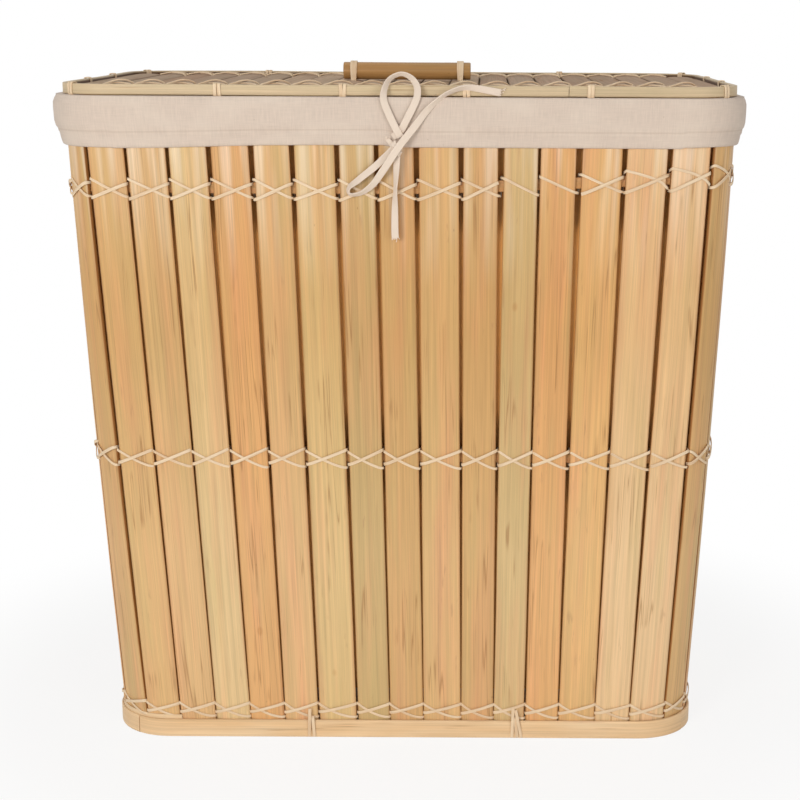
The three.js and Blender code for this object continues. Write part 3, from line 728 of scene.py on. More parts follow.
def store(obj: bpy.types.Object, **attributes: Any) -> None:
    """Stores numbers, vectors or colours on an object's vertices.

    Args:
        obj: object with a mesh.
        attributes: by attribute, one number, three or four of them for each vertex.
    """
    kinds = {1: ("FLOAT", "value"), 3: ("FLOAT_VECTOR", "vector"), 4: ("FLOAT_COLOR", "color")}
    for name, rows in attributes.items():
        values = np.asarray(rows, np.float32)
        kind, key = kinds[1 if values.ndim == 1 else values.shape[-1]]
        obj.data.attributes.new(name, kind, "POINT").data.foreach_set(key, values.ravel())


def finish_mesh(obj: bpy.types.Object, material: bpy.types.Material) -> None:
    """Shades a mesh smooth and gives it its material."""
    obj.data.polygons.foreach_set("use_smooth", [True] * len(obj.data.polygons))
    obj.data.materials.append(material)


def turn_outwards(obj: bpy.types.Object) -> None:
    """Flips a closed mesh if its volume says that its faces point in.

    Args:
        obj: object with the mesh.
    """
    points = np.array([v.co for v in obj.data.vertices])
    volume = 0.0
    for face in obj.data.polygons:
        corners = points[list(face.vertices)]
        for second in range(1, len(corners) - 1):
            volume += corners[0] @ np.cross(corners[second], corners[second + 1])
    if volume < 0:
        obj.data.flip_normals()


class ShapeTree(Net):
    """A geometry node tree with named inputs."""

    kinds = {"Material": "NodeSocketMaterial", "Count": "NodeSocketInt"}

    def __init__(self, name: str, inputs: Sequence[str], rows: Sequence[Sequence[Any]]) -> None:
        """Builds a tree from its nodes.

        Args:
            name: name of the tree.
            inputs: names of its inputs after the geometry, numbers unless their last word says otherwise.
            rows: its nodes in order, as for add, of which the last makes the geometry.
        """
        super().__init__(bpy.data.node_groups.new(name, "GeometryNodeTree"))
        sockets = self.tree.interface
        sockets.new_socket("Geometry", in_out="INPUT", socket_type="NodeSocketGeometry")
        sockets.new_socket("Geometry", in_out="OUTPUT", socket_type="NodeSocketGeometry")
        for label in (*inputs, "Material"):
            kind = self.kinds.get(label.split()[-1], "NodeSocketFloat")
            sockets.new_socket(label, in_out="INPUT", socket_type=kind)
        for row in (
            ("given", "GroupInput"),
            *rows,
            ("whole", "RealizeInstances", rows[-1][0]),
            ("angle", "InputMeshEdgeAngle"),
            ("sharp", "Compare GREATER_THAN", "angle", math.radians(50)),
            ("smooth", "SetShadeSmooth FACE", "whole"),
            ("creased", "SetShadeSmooth EDGE", "smooth", "sharp", False),
            ("dressed", "SetMaterial", "creased", None, "given.Material"),
            ("result", "GroupOutput", "dressed"),
        ):
            self.add(*row)

    def run(self, obj: bpy.types.Object, values: dict[str, Any]) -> None:
        """Turns an object's points or lines into the plain mesh that the tree makes of them.

        Args:
            obj: object that carries the points and their attributes, left with no modifier.
            values: value of each named input.
        """
        modifier = obj.modifiers.new(self.tree.name, "NODES")
        modifier.node_group = self.tree
        for item in self.tree.interface.items_tree:
            if item.in_out == "INPUT" and item.name in values:
                modifier[item.identifier] = values[item.name]
        graph = bpy.context.evaluated_depsgraph_get()
        shaped = obj.evaluated_get(graph)
        made = bpy.data.meshes.new_from_object(shaped, preserve_all_data_layers=True, depsgraph=graph)
        obj.modifiers.clear()
        obj.data = made
        made.name = obj.name


def slat_tree() -> ShapeTree:
    """Builds the tree that sets a crowned slat on every point of a mesh.

    A point carries turn, stretch, out, tint and seed, and in splay how much wider its slat is at the top than
    at the foot; lengths are in metres.

    Returns:
        The tree, with inputs for its counts of columns and rows, its crown, bow and waviness.
    """
    block = (
        ("block", "MeshCube", (1, 1, 1), "given.Column Count", None, "given.Row Count"),
        ("here", "InputPosition"),
        ("spot", "SeparateXYZ", "here"),
        # The sine packs the columns towards the two long edges, where the slat is rounded
        ("turned", "Math MULTIPLY", "spot.X", math.pi),
        ("across", "Math SINE", "turned"),
        ("half", "Math MULTIPLY", "across", 0.5),
        ("share", "Math ABSOLUTE", "across"),
        ("soft", "Math POWER", "share", 2.2),
        ("crown", "Math MULTIPLY", "soft", "given.Crown"),
        ("steep", "Math POWER", "share", 22.0),
        ("low", "Math MULTIPLY_ADD", "steep", "given.Arris", "crown"),
        ("front", "Math LESS_THAN", "spot.Y", 0.0),
        ("depth", "Math MULTIPLY_ADD", "low", "front", "spot.Y"),
        # The sides and the back are split raw, drawn darker as painted shade for the gaps between slats, and the edge
        # of the front shows a little of that colour
        ("rim", "Math POWER", "share", 34.0),
        ("behind", "Math GREATER_THAN", "spot.Y", 0.0),
        ("raw", "Math MAXIMUM", "rim", "behind"),
        ("edged", "StoreNamedAttribute FLOAT", "block", None, "edge", "raw"),
        ("place", "CombineXYZ", "half", "depth", "spot.Z"),
        ("shaped", "SetPosition", "edged", None, "place"),
        ("kept", "StoreNamedAttribute FLOAT_VECTOR", "shaped", None, "local", "here"),
    )
    vectors = tuple(
        (name, "InputNamedAttribute FLOAT_VECTOR", name) for name in ("turn", "stretch", "out", "splay", "local")
    )
    moves = (
        ("seed", "InputNamedAttribute FLOAT", "seed"),
        ("set", "InstanceOnPoints", "given.Geometry", None, "kept", None, None, "turn", "stretch"),
        ("real", "RealizeInstances", "set"),
        ("at", "SeparateXYZ", "local"),
        ("square", "Math MULTIPLY", "at.Z", "at.Z"),
        ("swell", "Math MULTIPLY_ADD", "square", -4.0, 1.0),
        ("bulge", "Math MULTIPLY", "swell", "given.Bow"),
        ("bowed", "VectorMath SCALE", "out", "bulge"),
        ("slant", "Math MULTIPLY", "at.X", "at.Z"),
        ("splayed", "VectorMath SCALE", "splay", "slant"),
        ("leaning", "VectorMath ADD", "bowed", "splayed"),
        ("noise", "TexNoise 4D", "here", "seed", 9.0, 1.0),
        ("shaken", "VectorMath SUBTRACT", "noise.Color", (0.5, 0.5, 0.5)),
        ("wave", "VectorMath SCALE", "shaken", "given.Wave"),
        ("offset", "VectorMath ADD", "leaning", "wave"),
        ("moved", "SetPosition", "real", None, None, "offset"),
        ("sized", "VectorMath MULTIPLY", "local", "stretch"),
        ("flat", "SeparateXYZ", "sized"),
        ("grain", "CombineXYZ", "flat.X", "flat.Z", "seed"),
        ("grained", "StoreNamedAttribute FLOAT_VECTOR", "moved", None, "grain", "grain"),
    )
    return ShapeTree("Slats", ("Column Count", "Row Count", "Crown", "Arris", "Bow", "Wave"), block + vectors + moves)


def strip_tree() -> ShapeTree:
    """Builds the tree that sweeps a strip with rounded edges along every line of a mesh.

    A point carries face, the direction that the strip's flat side looks, and girth, its share of the width.

    Returns:
        The tree, with inputs for the strip's width, thickness and edge radius in metres.
    """
    line = (
        ("line", "MeshToCurve", "given.Geometry"),
        ("curve", "CurveSplineType CATMULL_ROM", "line"),
        ("smooth", "SetSplineResolution", "curve", None, "given.Smooth Count"),
        ("face", "InputNamedAttribute FLOAT_VECTOR", "face"),
        ("facing", "SetCurveNormal FREE", "smooth", None, "face"),
        ("along", "SplineParameter"),
        ("walked", "StoreNamedAttribute FLOAT", "facing", None, "run", "along.Length"),
    )
    profile = (
        ("outline", "CurvePrimitiveQuadrilateral", "given.Thickness", "given.Width"),
        ("filleted", "FilletCurve POLY", "outline", 2, "given.Edge", True),
        ("divided", "SubdivideCurve", "filleted", "given.Cut Count"),
        # A hollow strip is thinner in its middle than at its two folded edges
        ("here", "InputPosition"),
        ("spot", "SeparateXYZ", "here"),
        ("share", "Math DIVIDE", "spot.Y", "given.Width"),
        ("square", "Math MULTIPLY", "share", "share"),
        ("inner", "Math MULTIPLY_ADD", "square", -4.0, 1.0),
        ("dent", "Math MULTIPLY", "inner", "given.Hollow"),
        ("left", "Math SUBTRACT", 1.0, "dent"),
        ("thin", "Math MULTIPLY", "spot.X", "left"),
        ("place", "CombineXYZ", "thin", "spot.Y"),
        ("pressed", "SetPosition", "divided", None, "place"),
        ("ringed", "StoreNamedAttribute FLOAT", "pressed", None, "round", "along.Length"),
        # The lower part of the inner side of a split strip is drawn dark: painted shade in the recess beside the lid's
        # slats
        ("depth", "Math DIVIDE", "spot.X", "given.Thickness"),
        ("inside", "Math LESS_THAN", "depth", -0.3),
        ("low", "Math GREATER_THAN", "share", -0.33),
        ("bare", "Math MULTIPLY", "inside", "low"),
        ("raw", "Math MULTIPLY", "bare", "given.Raw"),
        ("sided", "StoreNamedAttribute FLOAT", "ringed", None, "edge", "raw"),
    )
    numbers = tuple((name, "InputNamedAttribute FLOAT", name) for name in ("girth", "round", "run", "seed"))
    swept = (
        ("swept", "CurveToMesh", {"Curve": "walked", "Profile Curve": "sided", "Fill Caps": True, "Scale": "girth"}),
        ("grain", "CombineXYZ", "round", "run", "seed"),
        ("grained", "StoreNamedAttribute FLOAT_VECTOR", "swept", None, "grain", "grain"),
    )
    inputs = ("Width", "Thickness", "Edge", "Hollow", "Raw", "Cut Count", "Smooth Count")
    return ShapeTree("Strips", inputs, line + profile + numbers + swept)


# Workshop


@dataclass
class Route:
    """A line for a strip to follow: its points, the side it faces and its share of the full width."""

    points: list[np.ndarray] = field(default_factory=list)
    faces: list[np.ndarray] = field(default_factory=list)
    girths: list[float] = field(default_factory=list)
    closed: bool = False

    def add(self, point: Sequence[float], face: Sequence[float], girth: float = 1.0) -> None:
        """Adds a point.

        Args:
            point: its place.
            face: direction that the strip faces there.
            girth: the strip's share of its full width there.
        """
        self.points.append(np.asarray(point, float))
        self.faces.append(np.asarray(face, float))
        self.girths.append(girth)

    def square_faces(self) -> list[np.ndarray]:
        """Turns the facings square to the line's run.

        Returns:
            The facing at each point.
        """
        places = np.array(self.points)
        if self.closed:
            runs = np.roll(places, -1, 0) - np.roll(places, 1, 0)
        else:
            runs = np.gradient(places, axis=0)
        runs /= np.linalg.norm(runs, axis=1)[:, None]
        faces = np.array(self.faces)
        faces = faces - runs * (faces * runs).sum(1)[:, None]
        return list(faces / np.linalg.norm(faces, axis=1)[:, None])


@dataclass(frozen=True)
class Strip:
    """Sizes of a strip that is swept along routes, and its finish."""

    width: float
    thickness: float
    edge: float = 0.3
    hollow: float = 0.0
    # Share of the painted shade on the strip's lower inner side
    raw: float = 0.0
    cuts: int = 0
    smooth: int = 3
    finish: Surface = Surface.RATTAN

    def inputs(self) -> dict[str, Any]:
        """Gives the sizes by the inputs of the tree for strips."""
        sizes = {"Width": self.width * MM, "Thickness": self.thickness * MM, "Edge": self.edge * MM}
        return {**sizes, "Hollow": self.hollow, "Raw": self.raw, "Cut Count": self.cuts, "Smooth Count": self.smooth}


@dataclass(frozen=True)
class SlatShape:
    """Sizes of a slat apart from its length and width, and its finish."""

    columns: int
    rows: int
    thickness: float
    crown: float
    arris: float
    bow: float
    wave: float
    finish: Surface

    def inputs(self) -> dict[str, Any]:
        """Gives the sizes by the inputs of the tree for slats."""
        shares = {"Crown": self.crown / self.thickness, "Arris": self.arris / self.thickness}
        moves = {"Bow": self.bow * MM, "Wave": self.wave * MM}
        return {"Column Count": self.columns, "Row Count": self.rows, **shares, **moves}


# Material slot of the record for each finish of a swept strip
SLOTS = {
    Surface.RATTAN: "rattan",
    Surface.HOOP: "bamboo_hoop",
    Surface.LID_HOOP: "bamboo_hoop",
    Surface.BACKING: "bamboo_backing",
    Surface.TAPE: "cotton_tape",
}


class Workshop:
    """What every sub-assembly is made with: the trees, the finishes and the way pieces are handed over."""

    def __init__(self) -> None:
        """Builds the trees and finishes."""
        self.finish = {surface: surface.value.build() for surface in Surface}
        self.slats = slat_tree()
        self.strips = strip_tree()

    def sweep(
        self,
        name: str,
        routes: Sequence[Route],
        strip: Strip,
        body: str,
        nodes: Sequence[str] = (),
        seed: float = 0.0,
    ) -> bpy.types.Object:
        """Makes one piece of strips.

        Args:
            name: name of the object.
            routes: lines that the strips follow.
            strip: sizes and finish of the strip.
            body: CAD body that it moves with.
            nodes: CAD nodes that it stands for.
            seed: number that sets its grain apart.

        Returns:
            The piece.
        """
        points, faces, girths, edges, seeds = [], [], [], [], []
        for number, route in enumerate(routes):
            first, count = len(points), len(route.points)
            points += route.points
            faces += route.square_faces()
            girths += route.girths
            seeds += [seed + number * 1.37] * count
            edges += [(first + i, first + i + 1) for i in range(count - 1)]
            if route.closed:
                edges.append((first + count - 1, first))
        obj = mesh_object(name, points, edges=edges)
        store(obj, face=faces, girth=girths, seed=seeds)
        self.strips.run(obj, {**strip.inputs(), "Material": self.finish[strip.finish]})
        return self.piece(obj, body, SLOTS[strip.finish], nodes)

    def lay(self, name: str, slats: Sequence[dict[str, Any]], shape: SlatShape) -> bpy.types.Object:
        """Makes one mesh of slats.

        Args:
            name: name of the object.
            slats: the middle of each slat, and what its point carries for the tree.
            shape: what all the slats share.

        Returns:
            The finished object.
        """
        obj = mesh_object(name, [slat["middle"] for slat in slats])
        store(obj, **{key: [slat[key] for slat in slats] for key in slats[0] if key != "middle"})
        self.slats.run(obj, {**shape.inputs(), "Material": self.finish[shape.finish]})
        return obj

    def piece(self, obj: bpy.types.Object, body: str, slot: str, nodes: Sequence[str] = ()) -> bpy.types.Object:
        """Hands a finished piece over to the frame.

        Args:
            obj: the piece.
            body: CAD body that it moves with.
            slot: material slot of the record, not used.
            nodes: CAD nodes that it stands for.

        Returns:
            The piece.
        """
        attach(obj, body)
        if nodes:
            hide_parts(*nodes)
        log.info("%s: %d faces on %s", obj.name, len(obj.data.polygons), body)
        return obj

    def dress(self, finish: Surface, *nodes: str) -> None:
        """Gives CAD nodes that keep their own mesh a better material.

        Args:
            finish: the finish.
            nodes: names of the nodes.
        """
        for node in nodes:
            frame["nodes"][node].data.materials.clear()
            frame["nodes"][node].data.materials.append(self.finish[finish])
            log.info("%s keeps its CAD mesh", node)


# Slatted wall


class Tone(Enum):
    """Natural colours that the split bamboo comes in."""

    TAN = "#cfa771"
    GOLDEN = "#d7b07a"
    PINK = "#dab380"
    PALE = "#dfc08e"
    ORANGE = "#ddab73"
    STRAW = "#d8b882"
    OLIVE = "#caab77"
    SAGE = "#d2b481"
    AMBER = "#e3b67b"
    CREAM = "#e4c193"


def tint(tone: str, rng: random.Random, spread: float = 0.05, flaws: float = 0.0) -> list[float]:
    """Gives a tone a small random change of brightness and warmth.

    Args:
        tone: sRGB hex colour.
        rng: source of random numbers.
        spread: largest share by which it changes.
        flaws: 1 for a slat with many cracks, 0 for a clean one.

    Returns:
        The linear colour, with the flaws as its alpha.
    """
    shift = rng.uniform(-spread, spread)
    warmth = rng.uniform(-spread, spread) / 2
    red, green, blue, _ = linear(tone)
    return [red * (1 + shift + warmth), green * (1 + shift), blue * (1 + shift - warmth), flaws]


@dataclass
class SlattedWall:
    """The flat bamboo slats that stand round the hamper."""

    workshop: Workshop
    shape: SlatShape = SlatShape(15, 26, WALL.slat_thickness, WALL.slat_crown, 0.55, WALL.bow, 0.9, Surface.SLAT)
    group_sizes: dict[str, int] = field(default_factory=lambda: {"back": 3, "right": 4, "left": 4})
    front_tones: tuple[Tone, ...] = (
        Tone.GOLDEN, Tone.PINK, Tone.PALE, Tone.ORANGE, Tone.PINK,
        Tone.STRAW, Tone.OLIVE, Tone.TAN, Tone.GOLDEN, Tone.TAN,
        Tone.SAGE, Tone.ORANGE, Tone.AMBER, Tone.CREAM, Tone.CREAM,
    )
    corner_tone: Tone = Tone.GOLDEN
    hidden_tones: tuple[Tone, ...] = (
        Tone.TAN, Tone.GOLDEN, Tone.PALE, Tone.AMBER, Tone.PINK,
        Tone.OLIVE, Tone.STRAW,
    )
    flawed: tuple[int, ...] = (1, 3, 22, 30, 41)

    def groups(self) -> list[tuple[str, list[int]]]:
        """Counts off the slats of the CAD's nodes.

        Returns:
            The name of each slat or group with the numbers of its slats.
        """
        found, first = [], 0
        for face in WALL.faces:
            count = len(face.shares)
            size = self.group_sizes.get(face.name, 1)
            for start in range(0, count, size):
                numbers = [first + n for n in range(start, min(start + size, count))]
                part = f"{start // size + 1:02d}"
                suffix = "_slat" if count == 1 else f"_slat_{part}" if size == 1 else f"_slat_group_{part}"
                found.append((face.name + suffix, numbers))
            first += count
        return found

    def tone(self, name: str, slat: int, rng: random.Random) -> Tone:
        """Gives the tone of a slat, as seen on the front and its corners and drawn at random elsewhere.

        Args:
            name: CAD node that it belongs to.
            slat: number of the slat.
            rng: source of random numbers.

        Returns:
            The tone.
        """
        if name.startswith("front_") and "corner" in name:
            return self.corner_tone
        return self.front_tones[slat] if slat < len(self.front_tones) else rng.choice(self.hidden_tones)

    def slat(self, name: str, number: int, rng: random.Random) -> dict[str, Any]:
        """Fits one slat between its gaps.

        Args:
            name: CAD node that it belongs to.
            number: number of the slat.
            rng: source of random numbers.

        Returns:
            Its middle and what its point carries for the tree.
        """
        foot, foot_half = WALL.slat_middle(number, WALL.slat_foot)
        top, top_half = WALL.slat_middle(number, WALL.height)
        rise = top.position - foot.position
        length = np.linalg.norm(rise)
        up = rise / length
        across = unit(foot.along - up * (foot.along @ up))
        back = np.cross(up, across)
        middle = (foot.position + top.position) / 2 + across * rng.uniform(-0.15, 0.15)
        width = foot_half + top_half + rng.uniform(-0.2, 0.2)
        tone = self.tone(name, number, rng)
        return {
            "middle": middle + back * WALL.slat_thickness / 2,
            "turn": Matrix(np.array([across, back, up]).T.tolist()).to_euler(),
            "stretch": [width * MM, WALL.slat_thickness * MM, length * MM],
            "out": foot.out,
            "splay": across * 2 * (top_half - foot_half) * MM,
            "tint": tint(tone.value, rng, 0.012, float(number in self.flawed)),
            "seed": number * 3.7 + 1,
        }

    def build(self) -> None:
        """Makes one piece for each slat or group of the CAD."""
        rng = random.Random(11)
        slots = {row["node"]: row["material_slot"] for row in frame["record"]["subparts"]}
        for name, numbers in self.groups():
            slats = [self.slat(name, number, rng) for number in numbers]
            obj = self.workshop.lay(f"{name}_bamboo", slats, self.shape)
            self.workshop.piece(obj, "body", slots[name], [name])


# Lacing and hoops of the wall


@dataclass
class LacingRow:
    """One row of rattan lacing with its backing hoop: two strands that cross on every slat."""

    workshop: Workshop
    name: str
    height: float
    falling: Pair = (7.0, -8.2)
    rising: Pair = (-9.4, 3.6)
    drift: tuple[Pair, ...] = ((0, 0), (50, 0))
    sag: float = 1.0
    jitter: float = 0.5
    hidden_rising: tuple[int, ...] = ()
    slack: tuple[int, ...] = ()
    # Of the falling and the rising strand: how far behind the wall it runs up again, and how far it lies
    # off a slat at the slat's edges and at its middle
    falling_strip: Strip = Strip(2.3, 0.9, edge=0.35)
    falling_back: float = 9.3
    falling_lifts: Pair = (0.5, 0.6)
    rising_strip: Strip = Strip(2.8, 0.9, edge=0.35)
    rising_back: float = 10.4
    rising_lifts: Pair = (0.7, 1.5)
    backing: Strip = Strip(9.6, 3.5, edge=0.8, finish=Surface.BACKING)
    backing_face: float = 4.9
    first_slat: int = 25  # the first slat of the back, where no end of a strand is seen
    seed: int = 1

    def level(self, gap: float) -> float:
        """Gives the row's height at a gap, with what it has drifted up there."""
        return self.height + float(np.interp(gap % WALL.slat_count, *zip(*self.drift)))

    def stitch(self, route: Route, slat: int, ends: Pair, lifts: Pair, sag: float) -> None:
        """Runs a strand over the face of one slat.

        Args:
            route: route that the points go to.
            slat: number of the slat.
            ends: heights above the row where the strand comes out and where it goes in.
            lifts: how far its middle lies off the slat at the slat's edges and at its middle.
            sag: power by which it drops early, with 1 for a straight run.
        """
        start, end = ends
        for part in (-0.98, -0.78, -0.42, 0.0, 0.42, 0.78, 0.98):
            walk = (part + 1) / 2
            height = self.level(slat + walk) + end + (start - end) * (1 - walk) ** sag
            middle, half = WALL.slat_middle(slat, height)
            lift = lifts[0] + (lifts[1] - lifts[0]) * (1 - part * part)
            # At the edge of the slat the strand turns in through the gap
            dip, past = (1.0, 0.6) if abs(part) > 0.9 else (0.0, 0.0)
            depth = WALL.slat_crown * abs(part) ** 2.2 - lift + dip
            place = middle.position + middle.along * part * (half + past) - middle.out * depth
            route.add(place, middle.out + middle.along * part * 0.35)

    def strand(self, slats: range, ends: Pair, back: float, lifts: Pair, rng: random.Random) -> Route:
        """Laces a strand over a run of slats.

        Args:
            slats: numbers of the slats that it crosses.
            ends: heights above the row where it comes out of a gap and goes into the next one.
            back: how far behind the wall it runs up again.
            lifts: how far it lies off the slats.
            rng: source of random numbers.

        Returns:
            The route of the whole strand.
        """
        start, end = ends
        clear = self.backing.width / 2 + 0.9
        behind = [math.copysign(max(abs(level), clear), level) for level in (end, start)]
        # Into the gap, behind the backing hoop and out again: height, depth and the side that it faces
        turns = ((end, 4.5, 1), (behind[0], back, 0), (behind[1], back, 0), (start, 4.5, -1))
        route = Route()
        for slat in slats:
            jog = [rng.uniform(-self.jitter, self.jitter) for _ in range(2)]
            falls = start > end
            loose = falls and slat % WALL.slat_count in self.slack
            sag = 0.5 if loose else self.sag if falls else 1.0
            self.stitch(route, slat, (start + jog[0] + 2.0 * loose, end + jog[1]), lifts, sag)
            for level, depth, side in turns if slat < slats[-1] else ():
                gap = WALL.spot(slat + 1, self.level(slat + 1) + level, -depth)
                route.add(gap.position, gap.along * side if side else -gap.out, 0.8)
        return route

    def build(self) -> None:
        """Makes the backing hoop and both strands."""
        rng = random.Random(self.seed)
        hoop = Route(closed=True)
        for gap in np.arange(0, WALL.slat_count, 0.5):
            spot = WALL.spot(gap, self.level(gap), -self.backing_face - self.backing.thickness / 2)
            hoop.add(spot.position, spot.out)
        nodes = [f"{self.name}_backing_hoop"]
        self.workshop.sweep(f"{self.name}_backing_strip", [hoop], self.backing, "body", nodes, self.seed)
        first, last = self.first_slat, self.first_slat + WALL.slat_count
        fallen = self.strand(range(first, last), self.falling, self.falling_back, self.falling_lifts, rng)
        runs, start = [], first
        for end in [*sorted(first + (slat - first) % WALL.slat_count for slat in self.hidden_rising), last]:
            if end > start:
                runs.append(range(start, end))
            start = end + 1
        risen = [self.strand(run, self.rising, self.rising_back, self.rising_lifts, rng) for run in runs]
        for kind, routes, strip, seed in (
            ("falling", [fallen], self.falling_strip, self.seed),
            ("rising", risen, self.rising_strip, self.seed + 5),
        ):
            nodes = [f"{self.name}_lacing_{kind}_strand"]
            self.workshop.sweep(f"{self.name}_{kind}_rattan", routes, strip, "body", nodes, seed)


def hoop_route(loop: Loop, height: float, ends: Pair, offsets: Pair, ease: float = 30.0) -> Route:
    """Runs a strip part of the way round a loop, with its last end lying a little further out.

    Args:
        loop: loop that it follows.
        height: height of its middle.
        ends: distances along the loop where it starts and ends.
        offsets: how far outside the loop it lies along its run, and at its last end.
        ease: length of the last end that moves out.

    Returns:
        The open route.
    """
    route = Route()
    start, end = ends
    step = 9.0
    for distance in np.linspace(start, end, max(2, round((end - start) / step))):
        near = min(1.0, max(0.0, 1 - (end - distance) / ease))
        ring = loop.grown(offsets[0] + (offsets[1] - offsets[0]) * near)
        position, out = ring.spot(distance * ring.starts()[-1] / loop.starts()[-1])
        route.add(position + UP * height, out)
    return route


@dataclass
class Base:
    """The hoops round the foot, the floor panel and the five strands that tie the hoop on the front."""

    workshop: Workshop
    hoop: Strip = Strip(16.8, 2.8, edge=0.9, finish=Surface.HOOP)
    layer: Strip = Strip(17.4, 0.9, finish=Surface.HOOP)
    tie: Strip = Strip(2.9, 0.8)
    middle: float = 8.5
    layer_middle: float = 12.2
    joints: Pair = (-242.4, 260.1)
    inner_end: float = -202.0
    # Each strand: where its top and its foot are, and how high it starts
    ties: tuple[tuple[float, float, float], ...] = (
        (-85.3, -86.0, 28.0),
        (-82.6, -81.4, 20.5),
        (100.6, 99.6, 30.0),
        (102.2, 104.4, 20.5),
        (102.9, 108.6, 27.5),
    )

    def tied(self, top: float, foot: float, start: float) -> Route:
        """Runs a strand from a gap over the hoop and under its lower edge.

        Args:
            top: how far to the right its top lies.
            foot: how far to the right its foot lies.
            start: how high it starts.

        Returns:
            The open route.
        """
        route = Route()
        over = ((start, 1.4), ((start + 19.0) / 2, 2.4), (18.4, 3.4), (16.0, 4.0), (8.0, 4.0), (1.6, 3.9), (0.8, 3.0))
        for height, lift in over:
            side = top + (foot - top) * (start - height) / start
            place = (side, -WALL.at(height).half_depth - lift, height)
            route.add(place, (0.0, -1.0, 0.0 if height > 1.5 else -0.6))
        return route

    def build(self) -> None:
        """Makes the strips of the outer hoop and the ties, and dresses what stays."""
        loop = WALL.at(self.middle)
        length = loop.starts()[-1]
        left, right = self.joints
        out = 0.3 + self.hoop.thickness / 2
        routes = [
            hoop_route(loop, self.middle, (left, right), (out, out + 0.35)),
            hoop_route(loop, self.middle, (right + 0.6, left + length - 0.6), (out, out + 0.1)),
        ]
        self.workshop.sweep("base_hoop_strips", routes, self.hoop, "body", ["base_outer_hoop"], 3)
        inner = hoop_route(loop, self.layer_middle, (left - 40, self.inner_end), (0.75, 0.75))
        self.workshop.sweep("base_inner_layer", [inner], self.layer, "body", seed=8)
        self.workshop.sweep("base_ties", [self.tied(*tie) for tie in self.ties], self.tie, "body", seed=21)
        self.workshop.dress(Surface.ROUGH, "base_inner_hoop", "rim_outer_hoop", "rim_inner_hoop")
        self.workshop.dress(Surface.PLYWOOD, "floor_panel")


# Cotton liner


def cloth_object(
    name: str,
    grid: Sequence,
    weave: Sequence,
    material: bpy.types.Material,
    ends: Sequence[tuple] = (),
) -> bpy.types.Object:
    """Makes a closed cloth from a grid of points whose last row joins the first one.

    Args:
        name: name of the object.
        grid: rows by columns of points in millimetres.
        weave: rows by columns of distances along and down the cloth in millimetres.
        material: its finish.
        ends: faces that close its two ends, or none where its last column joins the first one.

    Returns:
        The object.
    """
    grid, weave = np.asarray(grid), np.asarray(weave)
    rows, columns = grid.shape[:2]
    obj = mesh_object(name, grid, [*ring_faces(rows, columns, not ends), *ends])
    store(obj, weave=np.concatenate([weave.reshape(-1, 2), np.zeros((rows * columns, 1))], 1) * MM)
    finish_mesh(obj, material)
    turn_outwards(obj)
    return obj


def soft_waves(seed: int, count: int, turns: tuple[int, int]) -> list[tuple[int, float, float]]:
    """Draws waves that run round the cloth: the turns, the phase and the size of each."""
    rng = random.Random(seed)
    return [(rng.randint(*turns), rng.uniform(0, 2 * math.pi), rng.uniform(0.3, 1.0)) for _ in range(count)]


